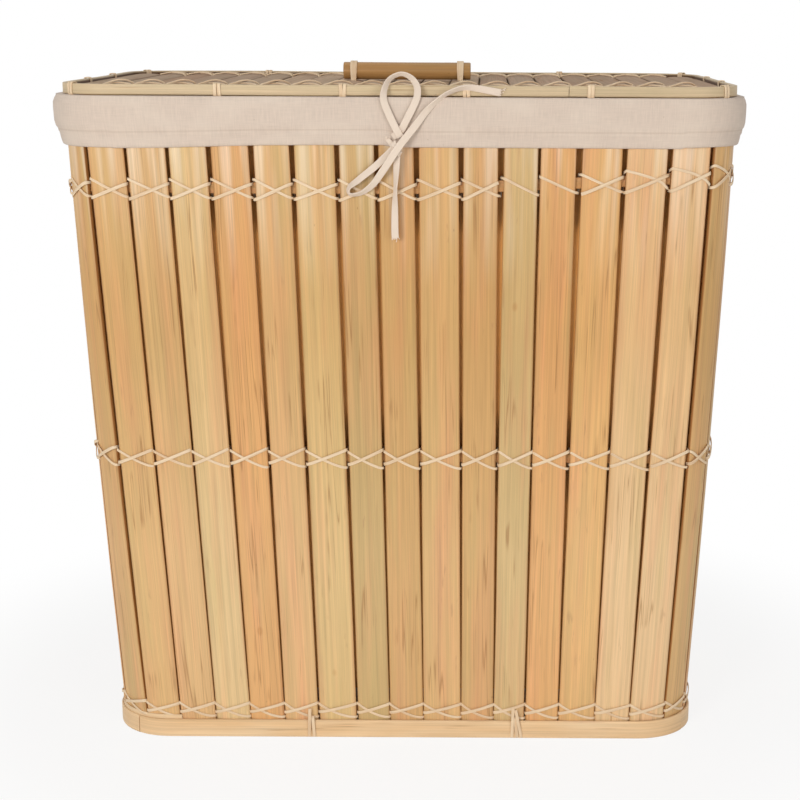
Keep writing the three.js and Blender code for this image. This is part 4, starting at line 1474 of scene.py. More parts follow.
@dataclass
class Liner:
    """The cotton bag, its cuff over the rim and the divider between the two bins."""

    workshop: Workshop
    thickness: float = 1.1
    step: float = 4.0
    hem_bottom: float = 540.0
    # Outer side of the cuff, from inside the lower edge over the rim and down: how far out and how high
    cuff_outer: tuple[Pair, ...] = (
        (-0.2, 6.0), (0.0, 1.4), (0.0, 0.0), (1.3, -0.3), (2.3, 0.4), (2.9, 2.4), (3.4, 5.2), (3.7, 7.8),
        (4.1, 9.8), (4.9, 11.2), (5.1, 13.0), (5.9, 15.0), (6.3, 19.0), (6.4, 24.0), (6.4, 30.0), (6.3, 34.5),
        (5.9, 38.0), (4.3, 40.0), (1.6, 40.9), (-3.0, 41.1), (-7.5, 40.8), (-10.2, 39.2), (-11.1, 35.8),
        (-11.2, 28.0), (-11.2, 16.0), (-11.2, 6.5),
    )
    cuff_folded: int = 5  # points of the outer side that are hidden in the fold of the hem
    hoop_clearance: float = 4.9
    bag_inset: float = 11.35
    bag_swell: float = 5.5
    swollen: tuple[Pair, ...] = ((38, 256), (282, 492))
    divider_inset: float = 13.2

    @cached_property
    def loop(self) -> Loop:
        """Gives the wall's top outline."""
        return WALL.at(WALL.height)

    @cached_property
    def starts(self) -> np.ndarray:
        """Gives where the straights and corners of the outline start, and its length last."""
        return self.loop.starts()

    @property
    def columns(self) -> np.ndarray:
        """Gives the distance of each column of the cloth along the outline."""
        return np.linspace(0, self.starts[-1], round(self.starts[-1] / self.step), endpoint=False)

    def fullness(self, distance: float) -> float:
        """Says how far the cuff puffs out at a place: not on the front, a little at the corners and sides.

        Args:
            distance: distance along the outline.

        Returns:
            The share of its full puff.
        """
        starts = self.starts
        half = starts[1]
        if distance < starts[2] + 100:
            return rounded(distance, half - 12, half + 50) * 0.25
        if distance > starts[-1] - starts[2] - 100:
            return rounded(starts[-1] - distance, half - 12, half + 50) * 0.45
        return 0.6

    def profile(self) -> tuple[list[tuple[float, float, bool]], list[float]]:
        """Lays the inner side of the cuff behind its outer side.

        Returns:
            How far out and how high each point of the section lies and whether it is on the outer side,
            and the distance of each point along the section.
        """
        outer = np.array(self.cuff_outer)
        steps = np.gradient(outer, axis=0)
        normals = np.stack([-steps[:, 1], steps[:, 0]], 1) / np.hypot(steps[:, 0], steps[:, 1])[:, None]
        inner = (outer + normals * self.thickness)[self.cuff_folded :][::-1]
        points = np.vstack([outer, inner])
        drops = np.concatenate([[0.0], np.hypot(*np.diff(points, axis=0).T).cumsum()])
        return [(o, h, index < len(outer)) for index, (o, h) in enumerate(points.tolist())], drops.tolist()

    def cuff(self) -> None:
        """Makes the cuff: a hemmed band of cloth turned over the rim and down its inside."""
        distances, starts = self.columns, self.starts
        waves = soft_waves(5, 14, (6, 70))
        profile, drops = self.profile()
        grid = np.zeros((len(profile), len(distances), 3))
        weave = np.zeros((len(profile), len(distances), 2))
        places, _ = self.loop.spots(distances)
        for column, distance in enumerate(distances):
            full = self.fullness(distance)
            angle = 2 * math.pi * distance / starts[-1]
            wave = sum(size * math.sin(turns * angle + phase) for turns, phase, size in waves) / 4
            crease = sum(size * math.sin(turns * 3 * angle + phase * 2) for turns, phase, size in waves) / 5
            rise = -1.2 * math.sin(angle * 5)
            if distance < starts[1] or distance > starts[-1] - starts[1]:
                # The hem of the front as in the photograph, with a step at the slit of the drawstring
                across = (-286, -200, -120, -40, -9, -7, 286)
                rise = float(np.interp(places[column][0], across, (-2.2, -1.2, 1.2, 2.0, 2.0, 0.2, 0.0)))
            for row, (offset, high, shown) in enumerate(profile):
                height = self.hem_bottom + high + rise * (1 - rounded(high, 8, 26)) * (offset > -2)
                moved = offset
                if offset > 0.5:
                    puff = rounded(high, 12.5, 17) * (1 - rounded(high, 33, 39.5)) * 3.0
                    moved += puff * full * min(1.0, (offset - 0.5) / 1.5)
                    moved += (wave * 0.35 + crease * 0.18 * full) * rounded(high, 1, 8) * (1 - rounded(high, 34, 40))
                    # Above the lower edge of the rim hoop the cloth lies clear of it
                    clear = self.hoop_clearance * rounded(height, 545.0, 550.4)
                    moved = max(moved, clear if shown else clear - self.thickness)
                elif high < 34:
                    moved -= abs(wave) * 0.2
                ring = WALL.at(min(height, WALL.height)).grown(moved)
                position, _ = ring.spot(self.matched(distance, ring))
                grid[row, column] = position + UP * height
                weave[row, column] = (self.walked(distance), drops[row])
        obj = cloth_object("liner_cuff_cloth", grid, weave, self.workshop.finish[Surface.COTTON_CUFF])
        self.workshop.piece(obj, "body", "cotton_canvas", ["liner_cuff"])

    def matched(self, distance: float, ring: Loop) -> float:
        """Finds the distance along a ring that lies beside a distance along the outline."""
        return float(np.interp(distance, self.starts, ring.starts()))

    def walked(self, distance: float) -> float:
        """Gives the distance for the weave, which meets its other end at the middle of the back."""
        return distance - self.starts[-1] if distance > self.starts[-1] / 2 else distance

    def billow(self, height: float, distance: float) -> float:
        """Says how far the bag swells out to the slats.

        Args:
            height: height above the ground.
            distance: distance along the outline.

        Returns:
            1 between the rows of lacing and 0 at them, and less near the corners.
        """
        swell = 0.0
        for low, high in self.swollen:
            swell = max(swell, rounded(height, low, low + 30) * (1 - rounded(height, high - 30, high)))
        nearest = min(abs(distance - (self.starts[i] + self.starts[i + 1]) / 2) for i in (1, 3, 5, 7))
        return swell * (0.45 + 0.55 * rounded(nearest, 30, 60))

    def bag(self) -> None:
        """Makes the bag: a cloth that hangs inside the wall with soft folds and lies on the floor."""
        distances, length = self.columns[::2], self.starts[-1]
        waves = soft_waves(8, 12, (5, 34))
        # Each level: its height, and how far out the cloth still lies there, less than 1 on the bottom
        levels = [(578.6, 1.0), (574, 1.0), (566, 1.0), (540, 1.0), *((h, 1.0) for h in np.linspace(515, 44, 40))]
        hanging = len(levels) - 1
        levels += [(34, 0.999), (24, 0.993), (18.5, 0.98), (16.6, 0.95), (16.2, 0.85), (16.4, 0.6), (16.2, 0.3)]
        levels.append((16.3, 0.03))
        outside = [(level, share, self.bag_inset, -1.4) for level, share in levels]
        inside = [(level, share, self.bag_inset + self.thickness, self.thickness) for level, share in levels[::-1]]
        grid, weave = [], []
        for number, (level, share, inset, lift) in enumerate([*outside, *inside]):
            height = level + (lift if share < 1.0 else 0.0)
            down = 20 * (number % len(levels))
            line, weave_line = [], []
            for distance in distances:
                swell = self.billow(level, distance)
                ring = WALL.at(height).grown(-inset + self.bag_swell * swell)
                angle = 2 * math.pi * distance / length
                wave = sum(size * math.sin(turns * angle + phase + level * 0.004) for turns, phase, size in waves) / 4
                fold = (1.6 + wave) * 1.6 * rounded(level, 20, 130) * (1 - rounded(level, 430, 560))
                fold = max(0.0, fold * (1 - 0.75 * swell))
                position, out = ring.spot(self.matched(distance, ring))
                spot = (position - out * fold) * (share, share, 1)
                line.append(spot + UP * (height + (0.8 * abs(wave) if share < 0.98 else 0.0)))
                weave_line.append((self.walked(distance), down))
            grid.append(line)
            weave.append(weave_line)
        obj = cloth_object("liner_bag_cloth", grid, weave, self.workshop.finish[Surface.COTTON])
        # Through the gaps the outer side looks brown, because only light off the raw bamboo reaches it: its second
        # material is painted brown as that shade and bounce light
        obj.data.materials.append(self.workshop.finish[Surface.COTTON_BACK])
        outer = hanging * len(distances)
        obj.data.polygons.foreach_set("material_index", [int(i < outer) for i in range(len(obj.data.polygons))])
        self.workshop.piece(obj, "body", "cotton_canvas", ["liner_bag"])

    def divider(self) -> None:
        """Makes the divider: a hemmed cloth sewn across the bag from front to back."""
        shares = np.linspace(-1, 1, 41)
        heights = [17.6, 24, 40, *np.linspace(70, 520, 16), 540, 545, 546, 550, 554.5, 556]
        grid, weave = [], []
        for side, height in [*((1, height) for height in heights), *((-1, height) for height in heights[::-1])]:
            reach = WALL.at(height).half_depth - self.divider_inset
            # The hem along its upper edge is thicker
            thick = self.thickness * (1.0 if height < 545.5 else 1.8) / 2
            line = []
            for share in shares:
                slack = 1 - share * share
                wave = 3.2 * math.sin(3.1 * share + 0.009 * height) + 1.4 * math.sin(7 * share + 0.02 * height)
                dip = 5.0 * slack * rounded(height, 430, 556)
                line.append([wave * slack + thick * side, share * reach, height - dip])
            grid.append(line)
            weave.append([(share * reach, height) for share in shares])
        rows, columns = len(grid), len(shares)
        ends = []
        for column in (0, columns - 1):
            ring = [row * columns + column for row in range(rows)]
            for index in range(rows // 2 - 1):
                quad = (ring[index], ring[index + 1], ring[rows - 2 - index], ring[rows - 1 - index])
                ends.append(quad if column else quad[::-1])
        obj = cloth_object("liner_divider_cloth", grid, weave, self.workshop.finish[Surface.COTTON], ends)
        self.workshop.piece(obj, "body", "cotton_canvas", ["liner_divider"])

    def build(self) -> None:
        """Makes the cuff, the bag and the divider."""
        self.cuff()
        self.bag()
        self.divider()


# Drawstring


def smooth_line(points: np.ndarray, steps: int) -> np.ndarray:
    """Runs a Catmull-Rom curve through points.

    Args:
        points: rows of numbers, such as places.
        steps: new rows for each gap between two points.

    Returns:
        The rows along the curve, first and last points kept.
    """
    ends = np.vstack([2 * points[0] - points[1], points, 2 * points[-1] - points[-2]])
    rows = []
    for a, b, c, d in zip(ends, ends[1:], ends[2:], ends[3:]):
        for t in np.arange(steps) / steps:
            curve = 2 * b + (c - a) * t + (2 * a - 5 * b + 4 * c - d) * t**2 + (3 * b - a - 3 * c + d) * t**3
            rows.append(0.5 * curve)
    return np.array([*rows, points[-1]])


@dataclass
class Bow:
    """The drawstring of flat cotton tape, tied in a bow on the front of the cuff.

    Each place is across from the middle, out from the face of the cuff and up from the top of the wall,
    and then how far the tape is turned about its run, in degrees.
    """

    workshop: Workshop
    tape_strip: Strip = Strip(6.0, 1.3, edge=0.5, hollow=0.35, cuts=2, smooth=1, finish=Surface.TAPE)
    knot_strip: Strip = Strip(6.0, 1.3, edge=0.5, hollow=0.3, cuts=2, finish=Surface.TAPE)
    fray_strip: Strip = Strip(0.55, 0.35, edge=0.15, smooth=2, finish=Surface.TAPE)
    sewn_strip: Strip = Strip(1.1, 0.8, finish=Surface.TAPE)
    cuff_face: float = 6.3
    upper_loop: tuple[tuple[float, ...], ...] = (
        (2.4, 2, -29, 0), (-1.4, 2.7, -22, 0), (-6.9, 2.6, -10.4, 5), (-11, 2, 0, 15), (-10.8, -1.4, 9, 38),
        (-6.4, -5.6, 17.6, 55), (2.5, -6.6, 21.8, 58), (10.6, -6.2, 19, 45), (15.8, -3.8, 12.4, 25),
        (16.3, 0.6, 4, 12), (13.1, 2.3, -4.1, 5), (7.7, 2.5, -14.6, 0), (2.2, 1.1, -24.6, -10),
        (-4.2, 0.2, -29, -10),
    )
    long_bow: tuple[tuple[float, ...], ...] = (
        (-9.8, -1, -45, 10), (-18.6, -1.8, -53.4, 15), (-33.6, -2.4, -65.4, 35), (-41.2, -2.4, -71.6, 62),
        (-40.2, -2.2, -77.2, 66), (-31, -2.1, -76, 55), (-21, -1.5, -68.6, 30), (-13.4, 1.4, -58.4, 10),
        (-6.4, 4.7, -48, 0), (-0.4, 5.3, -39, 0), (5.6, 4.9, -31, 0), (13.9, 3.8, -20.8, 5), (22.5, 2.6, -9.4, 25),
        (30.9, 1.8, -1, 48), (40.2, -1, 6, 58), (50.8, -4.2, 10.3, 52), (59.6, -6, 11, 38), (71.8, -6.6, 9.2, 15),
        (84.4, -6.6, 6.9, 0),
    )
    hanging_tail: tuple[tuple[float, ...], ...] = (
        (-0.8, 0.7, -42.8, 12), (-1, 1.1, -52, 25), (-1.7, 0.5, -63.6, 50), (-2.4, -0.2, -74.2, 62),
        (-2.8, -0.4, -90.3, 25), (-2.9, 0.5, -106.6, 5), (-2.6, 0.8, -113, 0),
    )
    slit: Pair = (-8.1, -30.0)
    # The lead out of the slit, with its share of the tape's width
    lead: tuple[tuple[float, ...], ...] = (
        (-6.5, -4.6, -29.0, 0.5), (-8.1, -2.6, -31.0, 0.55), (-6.6, -1.6, -33.4, 0.7), (-4.5, 0.2, -35.5, 0.8),
        (-2.0, 1.0, -37.5, 0.8),
    )
    # The short run that carries the lower loop up behind the diagonal tape
    tuck: tuple[tuple[float, ...], ...] = (
        (-13.6, -1.35, -48.4, 0.97), (-9.8, -1.0, -45.0, 0.97), (-6.0, -0.2, -41.2, 0.97), (-3.0, 0.4, -38.0, 0.97),
        (-1.2, 0.6, -35.6, 0.97),
    )

    def place(self, across: float, out: float, rise: float) -> np.ndarray:
        """Turns a place on the bow into a point."""
        wall = WALL.at(WALL.height + min(rise, 0)).half_depth
        return np.array([across, -wall - self.cuff_face - out, WALL.height + rise])

    def tape(self, node: str, route: Sequence[Sequence[float]], far_end: str) -> None:
        """Args:
            node: CAD node that it stands for.
            route: its places and turns.
            far_end: what is on its far end.
        """
        rows = smooth_line(np.array([[*self.place(*row[:3]), row[3]] for row in route]), 5)
        points = rows[:, :3]
        line = Route()
        for point, run, turn in zip(points, np.gradient(points, axis=0), np.radians(rows[:, 3])):
            run = unit(run)
            side = unit(np.cross(run, FRONT))
            line.add(point, np.cross(side, run) * math.cos(turn) + side * math.sin(turn))
        name = f"{node}_tape"
        piece = self.workshop.sweep(name, [line], self.tape_strip, "body", [node])
        others = []
        if far_end == "bare":
            others = [self.frays(f"{name}_frays", points[-1], points[-1] - points[-3], line.faces[-1])]

    def frays(self, name: str, end: np.ndarray, run: np.ndarray, face: np.ndarray) -> bpy.types.Object:
        """Makes the loose threads at a cut end of the tape.

        Args:
            name: name of the piece.
            end: middle of the cut end.
            run: direction in which the tape ends.
            face: direction that its flat side looks.

        Returns:
            The threads as one piece.
        """
        rng = random.Random(len(name))
        run = unit(run)
        side = unit(np.cross(run, face))
        routes = []
        for share in np.linspace(-0.46, 0.46, 13):
            start = end + side * share * self.tape_strip.width - run * 0.8
            bend = rng.uniform(-0.6, 0.6) + share * 0.7
            length = rng.uniform(1.0, 2.6) if rng.random() < 0.8 else rng.uniform(3.5, 5.5)
            line = Route()
            for part in (0.0, 0.35, 0.7, 1.0):
                curl = side * bend * part * part * length
                line.add(start + run * part * length + curl + face * rng.uniform(-0.15, 0.15), face)
            routes.append(line)
        return self.workshop.sweep(name, routes, self.fray_strip, "body")

    def knot(self) -> None:
        """Makes the tape's wraps at the crossing, its lead out of the slit and the slit's sewn edge."""
        routes = []
        for tilt, size, low in ((0.9, 4.6, -37.0), (0.55, 4.0, -41.2)):
            ring = Route(closed=True)
            centre = self.place(-1, 1.4, low)
            for angle in np.linspace(0, 2 * math.pi, 14, endpoint=False):
                reach = math.cos(angle) * size
                out = math.sin(angle) * 2.5 + 1.4
                point = self.place(reach * math.cos(tilt) - 1, out, low - reach * math.sin(tilt))
                ring.add(point, point - centre, 0.8)
            routes.append(ring)
        for rows, face in ((self.lead, (-0.5, -1.0, 0.2)), (self.tuck, FRONT)):
            line = Route()
            for row in rows:
                line.add(self.place(*row[:3]), face, row[3])
            routes.append(line)
        self.workshop.sweep("drawstring_knot_wraps", routes, self.knot_strip, "body", ["drawstring_knot"], 4)
        edge = Route(closed=True)
        across, rise = self.slit
        for angle in np.linspace(0, 2 * math.pi, 12, endpoint=False):
            edge.add(self.place(across + 1.6 * math.cos(angle), -2.55, rise + 3.6 * math.sin(angle)), FRONT)
        self.workshop.sweep("drawstring_slit_edge", [edge], self.sewn_strip, "body", seed=6)

    def build(self) -> None:
        """Makes the knot and the three runs of tape."""
        self.knot()
        self.tape("drawstring_upper_loop", self.upper_loop, "object")
        self.tape("drawstring_long_bow", self.long_bow, "bare")
        self.tape("drawstring_hanging_tail", self.hanging_tail, "bare")


# Lid


@dataclass
class Lid:
    """The lift-off lid: slats in a bent bamboo hoop, laced and lashed with rattan."""

    workshop: Workshop
    seat: float = 581.5
    half_width: float = 285.5
    half_depth: float = 173.5
    radius: float = 43.0
    hoop_height: float = 9.2
    hoop_thickness: float = 4.5
    # The hoop's lower inner side is drawn in painted shade
    hoop_strip: Strip = Strip(8.7, 4.4, edge=0.6, raw=1.0, cuts=5, finish=Surface.LID_HOOP)
    joint: float = 142.5
    panel_inset: float = 6.2
    slat_count: int = 21
    slat: SlatShape = SlatShape(9, 20, 3.2, 0.9, 0.6, 0.0, 0.8, Surface.LID_SLAT)
    slat_gap: float = 1.1
    # Tones of the bare inner side, darkened as painted shade on the lid's top
    slat_tones: tuple[str, ...] = ("#bca087", "#b5977d", "#c0a58a")
    panel_top: float = 7.0
    lacing_strip: Strip = Strip(2.4, 1.2, edge=0.45, smooth=2)
    row_depth: float = 130.5
    lashing_strip: Strip = Strip(2.9, 0.85, edge=0.35, smooth=2)
    front_lashings: tuple[float, ...] = (-149.2, -45.4, 56.6, 159.4)
    back_lashings: tuple[float, ...] = (-149.3, -50.0, 52.0, 147.4)
    side_lashings: tuple[float, ...] = (-51.5, 51.5)

    @property
    def loop(self) -> Loop:
        """Gives the outline of the hoop."""
        return Loop(self.half_width, self.half_depth, self.radius)

    @property
    def inner(self) -> Loop:
        """Gives the outline of the slats."""
        return self.loop.grown(-self.panel_inset)

    @property
    def pitch(self) -> float:
        """Gives the distance from one slat to the next."""
        return 2 * self.inner.half_width / self.slat_count

    def hoop(self) -> None:
        """Makes the bent hoop, a little uneven in height, with the two ends of its strip at the joint."""
        middle = self.seat + self.hoop_height / 2
        inset = -self.hoop_thickness / 2
        ends = (self.joint, self.joint + self.loop.starts()[-1] - 0.5)
        route = hoop_route(self.loop, middle, ends, (inset, inset))
        rng = random.Random(3)
        waves = [(turns, rng.uniform(0, 6)) for turns in (0.07, 0.16, 0.31)]
        for index, point in enumerate(route.points):
            route.points[index] = point + UP * 0.25 * sum(math.sin(index * t + p) for t, p in waves) / 2
        self.workshop.sweep("lid_hoop_strip", [route], self.hoop_strip, "lid", ["lid_outer_hoop"], 2)

    def panel(self) -> None:
        """Makes the slats that run from front to back."""
        rng = random.Random(19)
        inner, pitch = self.inner, self.pitch
        slats = []
        for index in range(self.slat_count):
            x = (index + 0.5) * pitch - inner.half_width
            edge = abs(x) + pitch / 2 - self.slat_gap / 2
            past = max(0.0, edge - (inner.half_width - inner.radius))
            reach = inner.half_depth - inner.radius + math.sqrt(max(inner.radius**2 - past**2, 0.0))
            top = self.seat + self.panel_top + rng.uniform(-0.8, 0.4)
            slat = {
                "middle": (x, 0, top - self.slat.thickness / 2),
                "turn": Matrix(((1, 0, 0), (0, 0, 1), (0, -1, 0))).to_euler(),
                "stretch": ((pitch - self.slat_gap) * MM, self.slat.thickness * MM, 2 * reach * MM),
                "out": UP,
                "tint": tint(rng.choice(self.slat_tones), rng),
                "seed": 200 + index * 2.3,
            }
            slats.append(slat)
        obj = self.workshop.lay("lid_slats_bamboo", slats, self.slat)
        self.workshop.piece(obj, "lid", "lid_slats", ["lid_panel"])

    def lacing(self, name: str, depth: float, slack: float, seed: int) -> None:
        """Laces the slats to a strip underneath with two strands that cross.

        Args:
            name: name of the piece and of the CAD node that it stands for.
            depth: how far behind the middle the row lies.
            slack: how high the upper strand stands up over each slat.
            seed: number for its small changes.
        """
        rng = random.Random(seed)
        left, pitch = -self.inner.half_width, self.pitch
        panel_top = self.seat + self.panel_top
        last = self.slat_count - 2
        routes = []
        for start, end, lift in ((8.6, -8.6, 1.0), (-6.1, 6.1, slack)):
            route = Route()
            # Into the gap, under the strip below and out again: depth, height and the side that it faces
            turns = (
                (end, -4.75, (1, 0, 0.1)),
                (end, -10.07, (0, 0, -1)),
                (start, -10.07, (0, 0, -1)),
                (start, -4.75, (-1, 0, 0.1)),
            )
            for slat in range(1, last + 1):
                first, final = (level + rng.uniform(-0.8, 0.8) for level in (start, end))
                for part in (0.03, 0.25, 0.5, 0.75, 0.97):
                    crown = self.slat.crown * abs(2 * part - 1) ** 2.2
                    # The upper strand is slack, and stands up most past the middle of each slat
                    high = panel_top + lift * math.sin(math.pi * part**1.4) + 0.5 - crown
                    route.add((left + (slat + part) * pitch, depth + first + (final - first) * part, high), UP)
                for level, low, face in turns if slat < last else ():
                    route.add((left + (slat + 1) * pitch, depth + level, panel_top + low), face, 0.5)
            routes.append(route)
        self.workshop.sweep(f"{name}_rattan", routes, self.lacing_strip, "lid", [name], seed)

    def lashings(self) -> None:
        """Makes the flat double wraps round the hoop and the strand that runs inside it."""
        rng = random.Random(9)
        loop = self.loop
        starts = loop.starts()
        side, back = (starts[2] + starts[3]) / 2, (starts[4] + starts[5]) / 2
        corner, corner_back = (starts[1] + starts[2]) / 2, (starts[3] + starts[4]) / 2
        distances = [*self.front_lashings, *(back - across for across in self.back_lashings)]
        distances += [middle + y for middle in (side, -side) for y in self.side_lashings]
        distances += [corner, -corner, corner_back, -corner_back]
        low, high = self.seat - 0.55, self.seat + self.hoop_height + 0.45
        middle = (low + high) / 2
        outer, inner = 0.5, -self.hoop_thickness - 0.55
        section = (
            (outer, low + 1.2, (1, 0)), (outer + 0.1, middle, (1, 0)), (outer, high - 1.2, (1, 0)),
            (outer - 1.0, high, (0.4, 1)), (-2.2, high + 0.05, (0, 1)), (inner + 1.0, high, (-0.4, 1)),
            (inner, high - 1.2, (-1, 0)), (inner, middle, (-1, 0)), (inner, low + 1.2, (-1, 0)),
            (inner + 1.0, low, (-0.4, -1)), (-2.2, low, (0, -1)), (outer - 1.0, low, (0.4, -1)),
        )
        routes = []
        for distance, shift in ((distance, shift) for distance in distances for shift in (-1.55, 1.55)):
            lean = rng.uniform(-0.3, 0.3)
            place, out = loop.spot(distance + shift + rng.uniform(-0.25, 0.25))
            along = np.cross(UP, out)
            route = Route(closed=True)
            for offset, height, face in section:
                walk = lean * ((height - low) / (high - low) * 2 - 1)
                route.add(place + out * offset + along * walk + UP * height, out * face[0] + UP * face[1])
            routes.append(route)
        running = Route(closed=True)
        ring = loop.grown(-self.hoop_thickness - 1.0)
        for place, out in zip(*ring.spots(np.linspace(0, ring.starts()[-1], 200, endpoint=False))):
            running.add(place + UP * (self.seat + 1.2), out, 0.8)
        routes.append(running)
        self.workshop.sweep("lid_lashings_rattan", routes, self.lashing_strip, "lid", ["lid_lashings"], 14)

    def build(self) -> None:
        """Makes the lid's pieces."""
        self.hoop()
        self.panel()
        self.lacing("lid_front_lacing", -self.row_depth, 3.6, 31)
        self.lacing("lid_back_lacing", self.row_depth, 1.5, 32)
        self.lashings()
        self.workshop.dress(Surface.ROUGH, "lid_locating_frame")


@dataclass
class Handle:
    """The short bamboo cane on the lid and its two rattan ties."""

    workshop: Workshop
    length: float = 117.0
    diameter: float = 16.0
    bore: float = 6.0
    axis: float = 596.8
    around: int = 48
    tie_middle: float = 49.0
    tie_width: float = 6.2
    tie_foot: float = 580.9
    tie_straight: Pair = (583.0, 590.0)
    tie_spreading: Pair = (586.0, 601.0)  # heights between which its strands spread to its full width
    strand: Strip = Strip(2.4, 0.8, smooth=2)
    strands: int = 3

    def cane(self) -> None:
        """Makes the cane: a slightly uneven round with a bore and square-cut, eased ends."""
        rng = random.Random(41)
        first, second, third = (rng.uniform(0, 6) for _ in range(3))
        half, bore, radius = self.length / 2, self.bore / 2, self.diameter / 2
        end = [(bore, 1.5), (bore + 0.3, 0.2), (bore + 0.8, 0.0), (radius - 0.8, 0.0), (radius - 0.15, 0.4)]
        profile = [(r, past - half) for r, past in end]
        profile += [(radius, x) for x in np.linspace(1.2 - half, half - 1.2, 40)]
        profile += [(r, half - past) for r, past in end[::-1]]
        points, grain = [], []
        for size, x in profile:
            for angle in np.linspace(0, 2 * math.pi, self.around, endpoint=False):
                uneven = 0.13 * math.sin(2 * angle + first) - 0.15
                uneven += 0.1 * math.sin(x * 0.05 + second) * math.sin(3 * angle + third)
                reach = size + uneven * (size > self.bore)
                points.append((x, reach * math.cos(angle), self.axis + reach * math.sin(angle)))
                grain.append((angle * radius * MM, x * MM, 7.0 * MM))
        obj = mesh_object("handle_cane", points, ring_faces(len(profile), self.around))
        store(obj, grain=grain)
        finish_mesh(obj, self.workshop.finish[Surface.CANE])
        turn_outwards(obj)
        self.workshop.piece(obj, "lid", "cane", ["handle"])

    def ties(self) -> None:
        """Ties the cane down through the slats with a few strands side by side."""
        radius = self.diameter / 2 + 0.7
        section = [(radius, height) for height in self.tie_straight]
        section += [(radius * math.cos(a), self.axis + radius * math.sin(a)) for a in np.linspace(0.0, math.pi, 11)]
        section += [(-radius, height) for height in self.tie_straight[::-1]]
        section += [(depth, self.tie_foot) for depth in (1.2 - radius, 0.0, radius - 1.2)]
        for name, side in (("handle_left_tie", -1), ("handle_right_tie", 1)):
            routes = []
            for index in range(self.strands):
                spread = (index - (self.strands - 1) / 2) * (self.tie_width - self.strand.width) / (self.strands - 1)
                route = Route(closed=True)
                for depth, height in section:
                    gather = 0.62 + 0.38 * rounded(height, *self.tie_spreading)
                    face = (0.0, depth, max(0.0, height - self.axis))
                    if height == self.tie_foot:
                        face = (0.0, depth * 0.4, -6.0)
                    route.add((side * self.tie_middle + spread * gather, depth, height), face)
                routes.append(route)
            self.workshop.sweep(f"{name}_rattan", routes, self.strand, "lid", [name], 50 + side)

    def build(self) -> None:
        """Makes the cane and its ties."""
        self.cane()
        self.ties()


# Studio


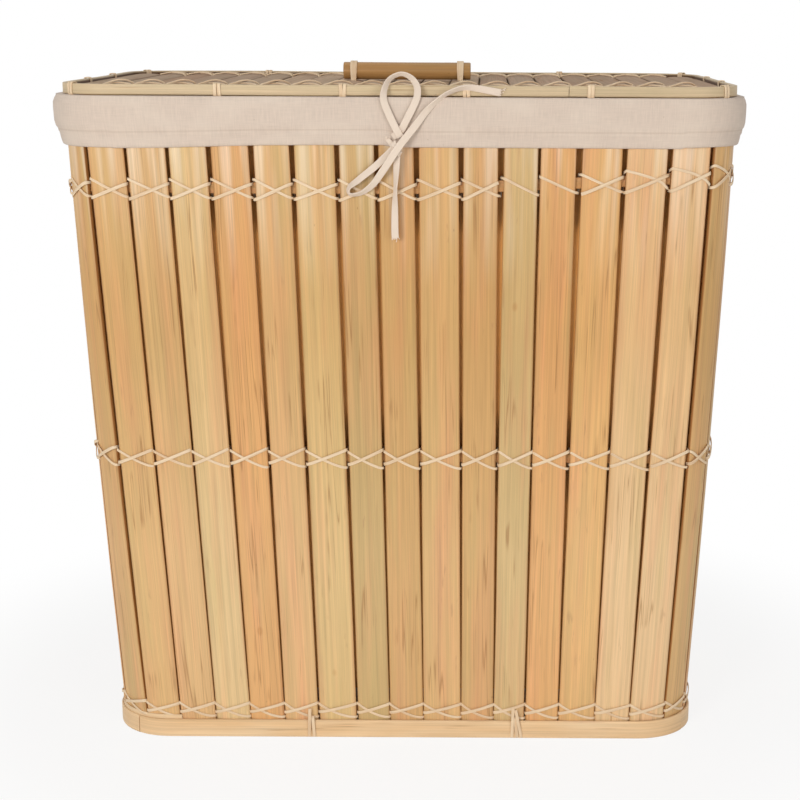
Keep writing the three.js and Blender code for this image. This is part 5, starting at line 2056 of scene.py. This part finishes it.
@dataclass
class Studio:
    """A white floor, soft light from above and in front, and the camera."""

    camera_place_m: tuple[float, float, float] = (0.072, -1.5803, 0.6461)
    pitch: float = 0.2243
    roll: float = 0.0054
    lens: float = 75.65
    shift: float = -0.1044
    floor_m: float = 4.0
    aim_m: tuple[float, float, float] = (0.0, 0.0, 0.3)
    room_light: float = 0.42
    # Each lamp: its place in metres, its size in metres and its power in watts
    lamps: tuple[tuple[str, tuple[float, float, float], float, float], ...] = (
        ("Key light", (-1.3, -2.7, 1.0), 1.0, 38.5),
        ("Fill light", (1.9, -2.6, 0.8), 1.8, 22.5),
        ("Top light", (0.2, 0.2, 3.0), 2.0, 9.0),
    )
    # 1 where the camera sees a surface, also in a reflection or through glass, and 0 for its light
    seen: tuple[tuple[str, ...], ...] = (
        ("rays", "LightPath"),
        ("mirrored", "Math MAXIMUM", "rays.Is Camera Ray", "rays.Is Glossy Ray"),
        ("seen", "Math MAXIMUM", "mirrored", "rays.Is Transmission Ray"),
    )

    def world(self) -> None:
        """Lights the room evenly and shows white behind the object."""
        world = bpy.data.worlds.new("White room")
        world.use_nodes = True
        net = Net(world.node_tree)
        for row in (
            *self.seen,
            ("strength", "MapRange", "seen", None, None, self.room_light, 1.0),
            ("light", "Background", (1, 1, 1, 1), "strength"),
            ("result", "OutputWorld", "light"),
        ):
            net.add(*row)
        bpy.context.scene.world = world

    def floor(self) -> None:
        """Lays a white floor that keeps the shadow near the object and is plain white further out."""
        half = self.floor_m / MM
        corners = ((-half, -half, 0), (half, -half, 0), (half, half, 0), (-half, half, 0))
        floor = mesh_object("studio_floor", corners, [(0, 1, 2, 3)])
        material = bpy.data.materials.new("Paper floor, matt white")
        material.use_nodes = True
        net = Net(material.node_tree)
        for row in (
            *self.seen,
            ("place", "TexCoord"),
            ("reach", "VectorMath LENGTH", "place.Object"),
            ("far", "MapRange SMOOTHSTEP", "reach", 0.34, 0.6, 0.84),
            ("share", "Math MULTIPLY", "seen", "far"),
            ("paper", "BsdfDiffuse", linear("#f7f6f4")),
            ("glow", "Emission", (1, 1, 1, 1), 1.0),
            ("mixed", "MixShader", "share", "paper", "glow"),
            ("result", "OutputMaterial", "mixed"),
        ):
            net.add(*row)
        floor.data.materials.append(material)

    def light(self) -> None:
        """Hangs the soft lamps, each turned to the middle of the object."""
        for name, place, size, power in self.lamps:
            data = bpy.data.lights.new(name, "AREA")
            data.size = size
            data.energy = power
            lamp = bpy.data.objects.new(name, data)
            lamp.location = place
            lamp.rotation_euler = (Vector(self.aim_m) - Vector(place)).to_track_quat("-Z", "Y").to_euler()
            bpy.context.scene.collection.objects.link(lamp)

    def camera(self) -> None:
        """Sets the camera where the photograph was taken from."""
        data = bpy.data.cameras.new("Camera")
        data.sensor_width = 36.0
        data.lens = self.lens
        data.shift_x = self.shift
        camera = bpy.data.objects.new("Camera", data)
        turn = Matrix.Rotation(math.pi / 2 - self.pitch, 4, "X") @ Matrix.Rotation(self.roll, 4, "Z")
        camera.matrix_world = Matrix.Translation(self.camera_place_m) @ turn
        bpy.context.scene.collection.objects.link(camera)
        bpy.context.scene.camera = camera

    def build(self) -> None:
        """Sets up the studio."""
        bpy.context.scene.view_settings.view_transform = "Standard"
        self.world()
        self.floor()
        self.light()
        self.camera()


def main() -> None:
    """Builds the hamper round its CAD frame."""
    logging.basicConfig(level=logging.INFO, format="%(message)s")
    Studio().build()
    workshop = Workshop()
    Bow(workshop).build()
    SlattedWall(workshop).build()
    LacingRow(workshop, "lower", 27.5, (4.9, -8.6), (-4.0, 4.9), sag=1.7, seed=1).build()
    LacingRow(workshop, "middle", 269, (5.6, -9.2), (-5.9, 7.2), sag=1.25, jitter=0.8, seed=2).build()
    # The upper row drifts up over the right half of the front, where two rising strands are missing
    drift = (
        (0, 0), (7.5, 0), (8.5, 0.6), (9.5, 1.9), (10.5, 3.2), (12.5, 6.2), (13.5, 8.0), (14.5, 10.5), (16, 12.0),
        (20, 6), (25, 0), (50, 0),
    )
    LacingRow(
        workshop, "upper", WALL.height - 73, drift=drift, hidden_rising=(10, 11), slack=(13, 14, 15), seed=3
    ).build()
    for make in (Base, Liner, Lid, Handle):
        make(workshop).build()


if __name__ == "__main__":
    main()
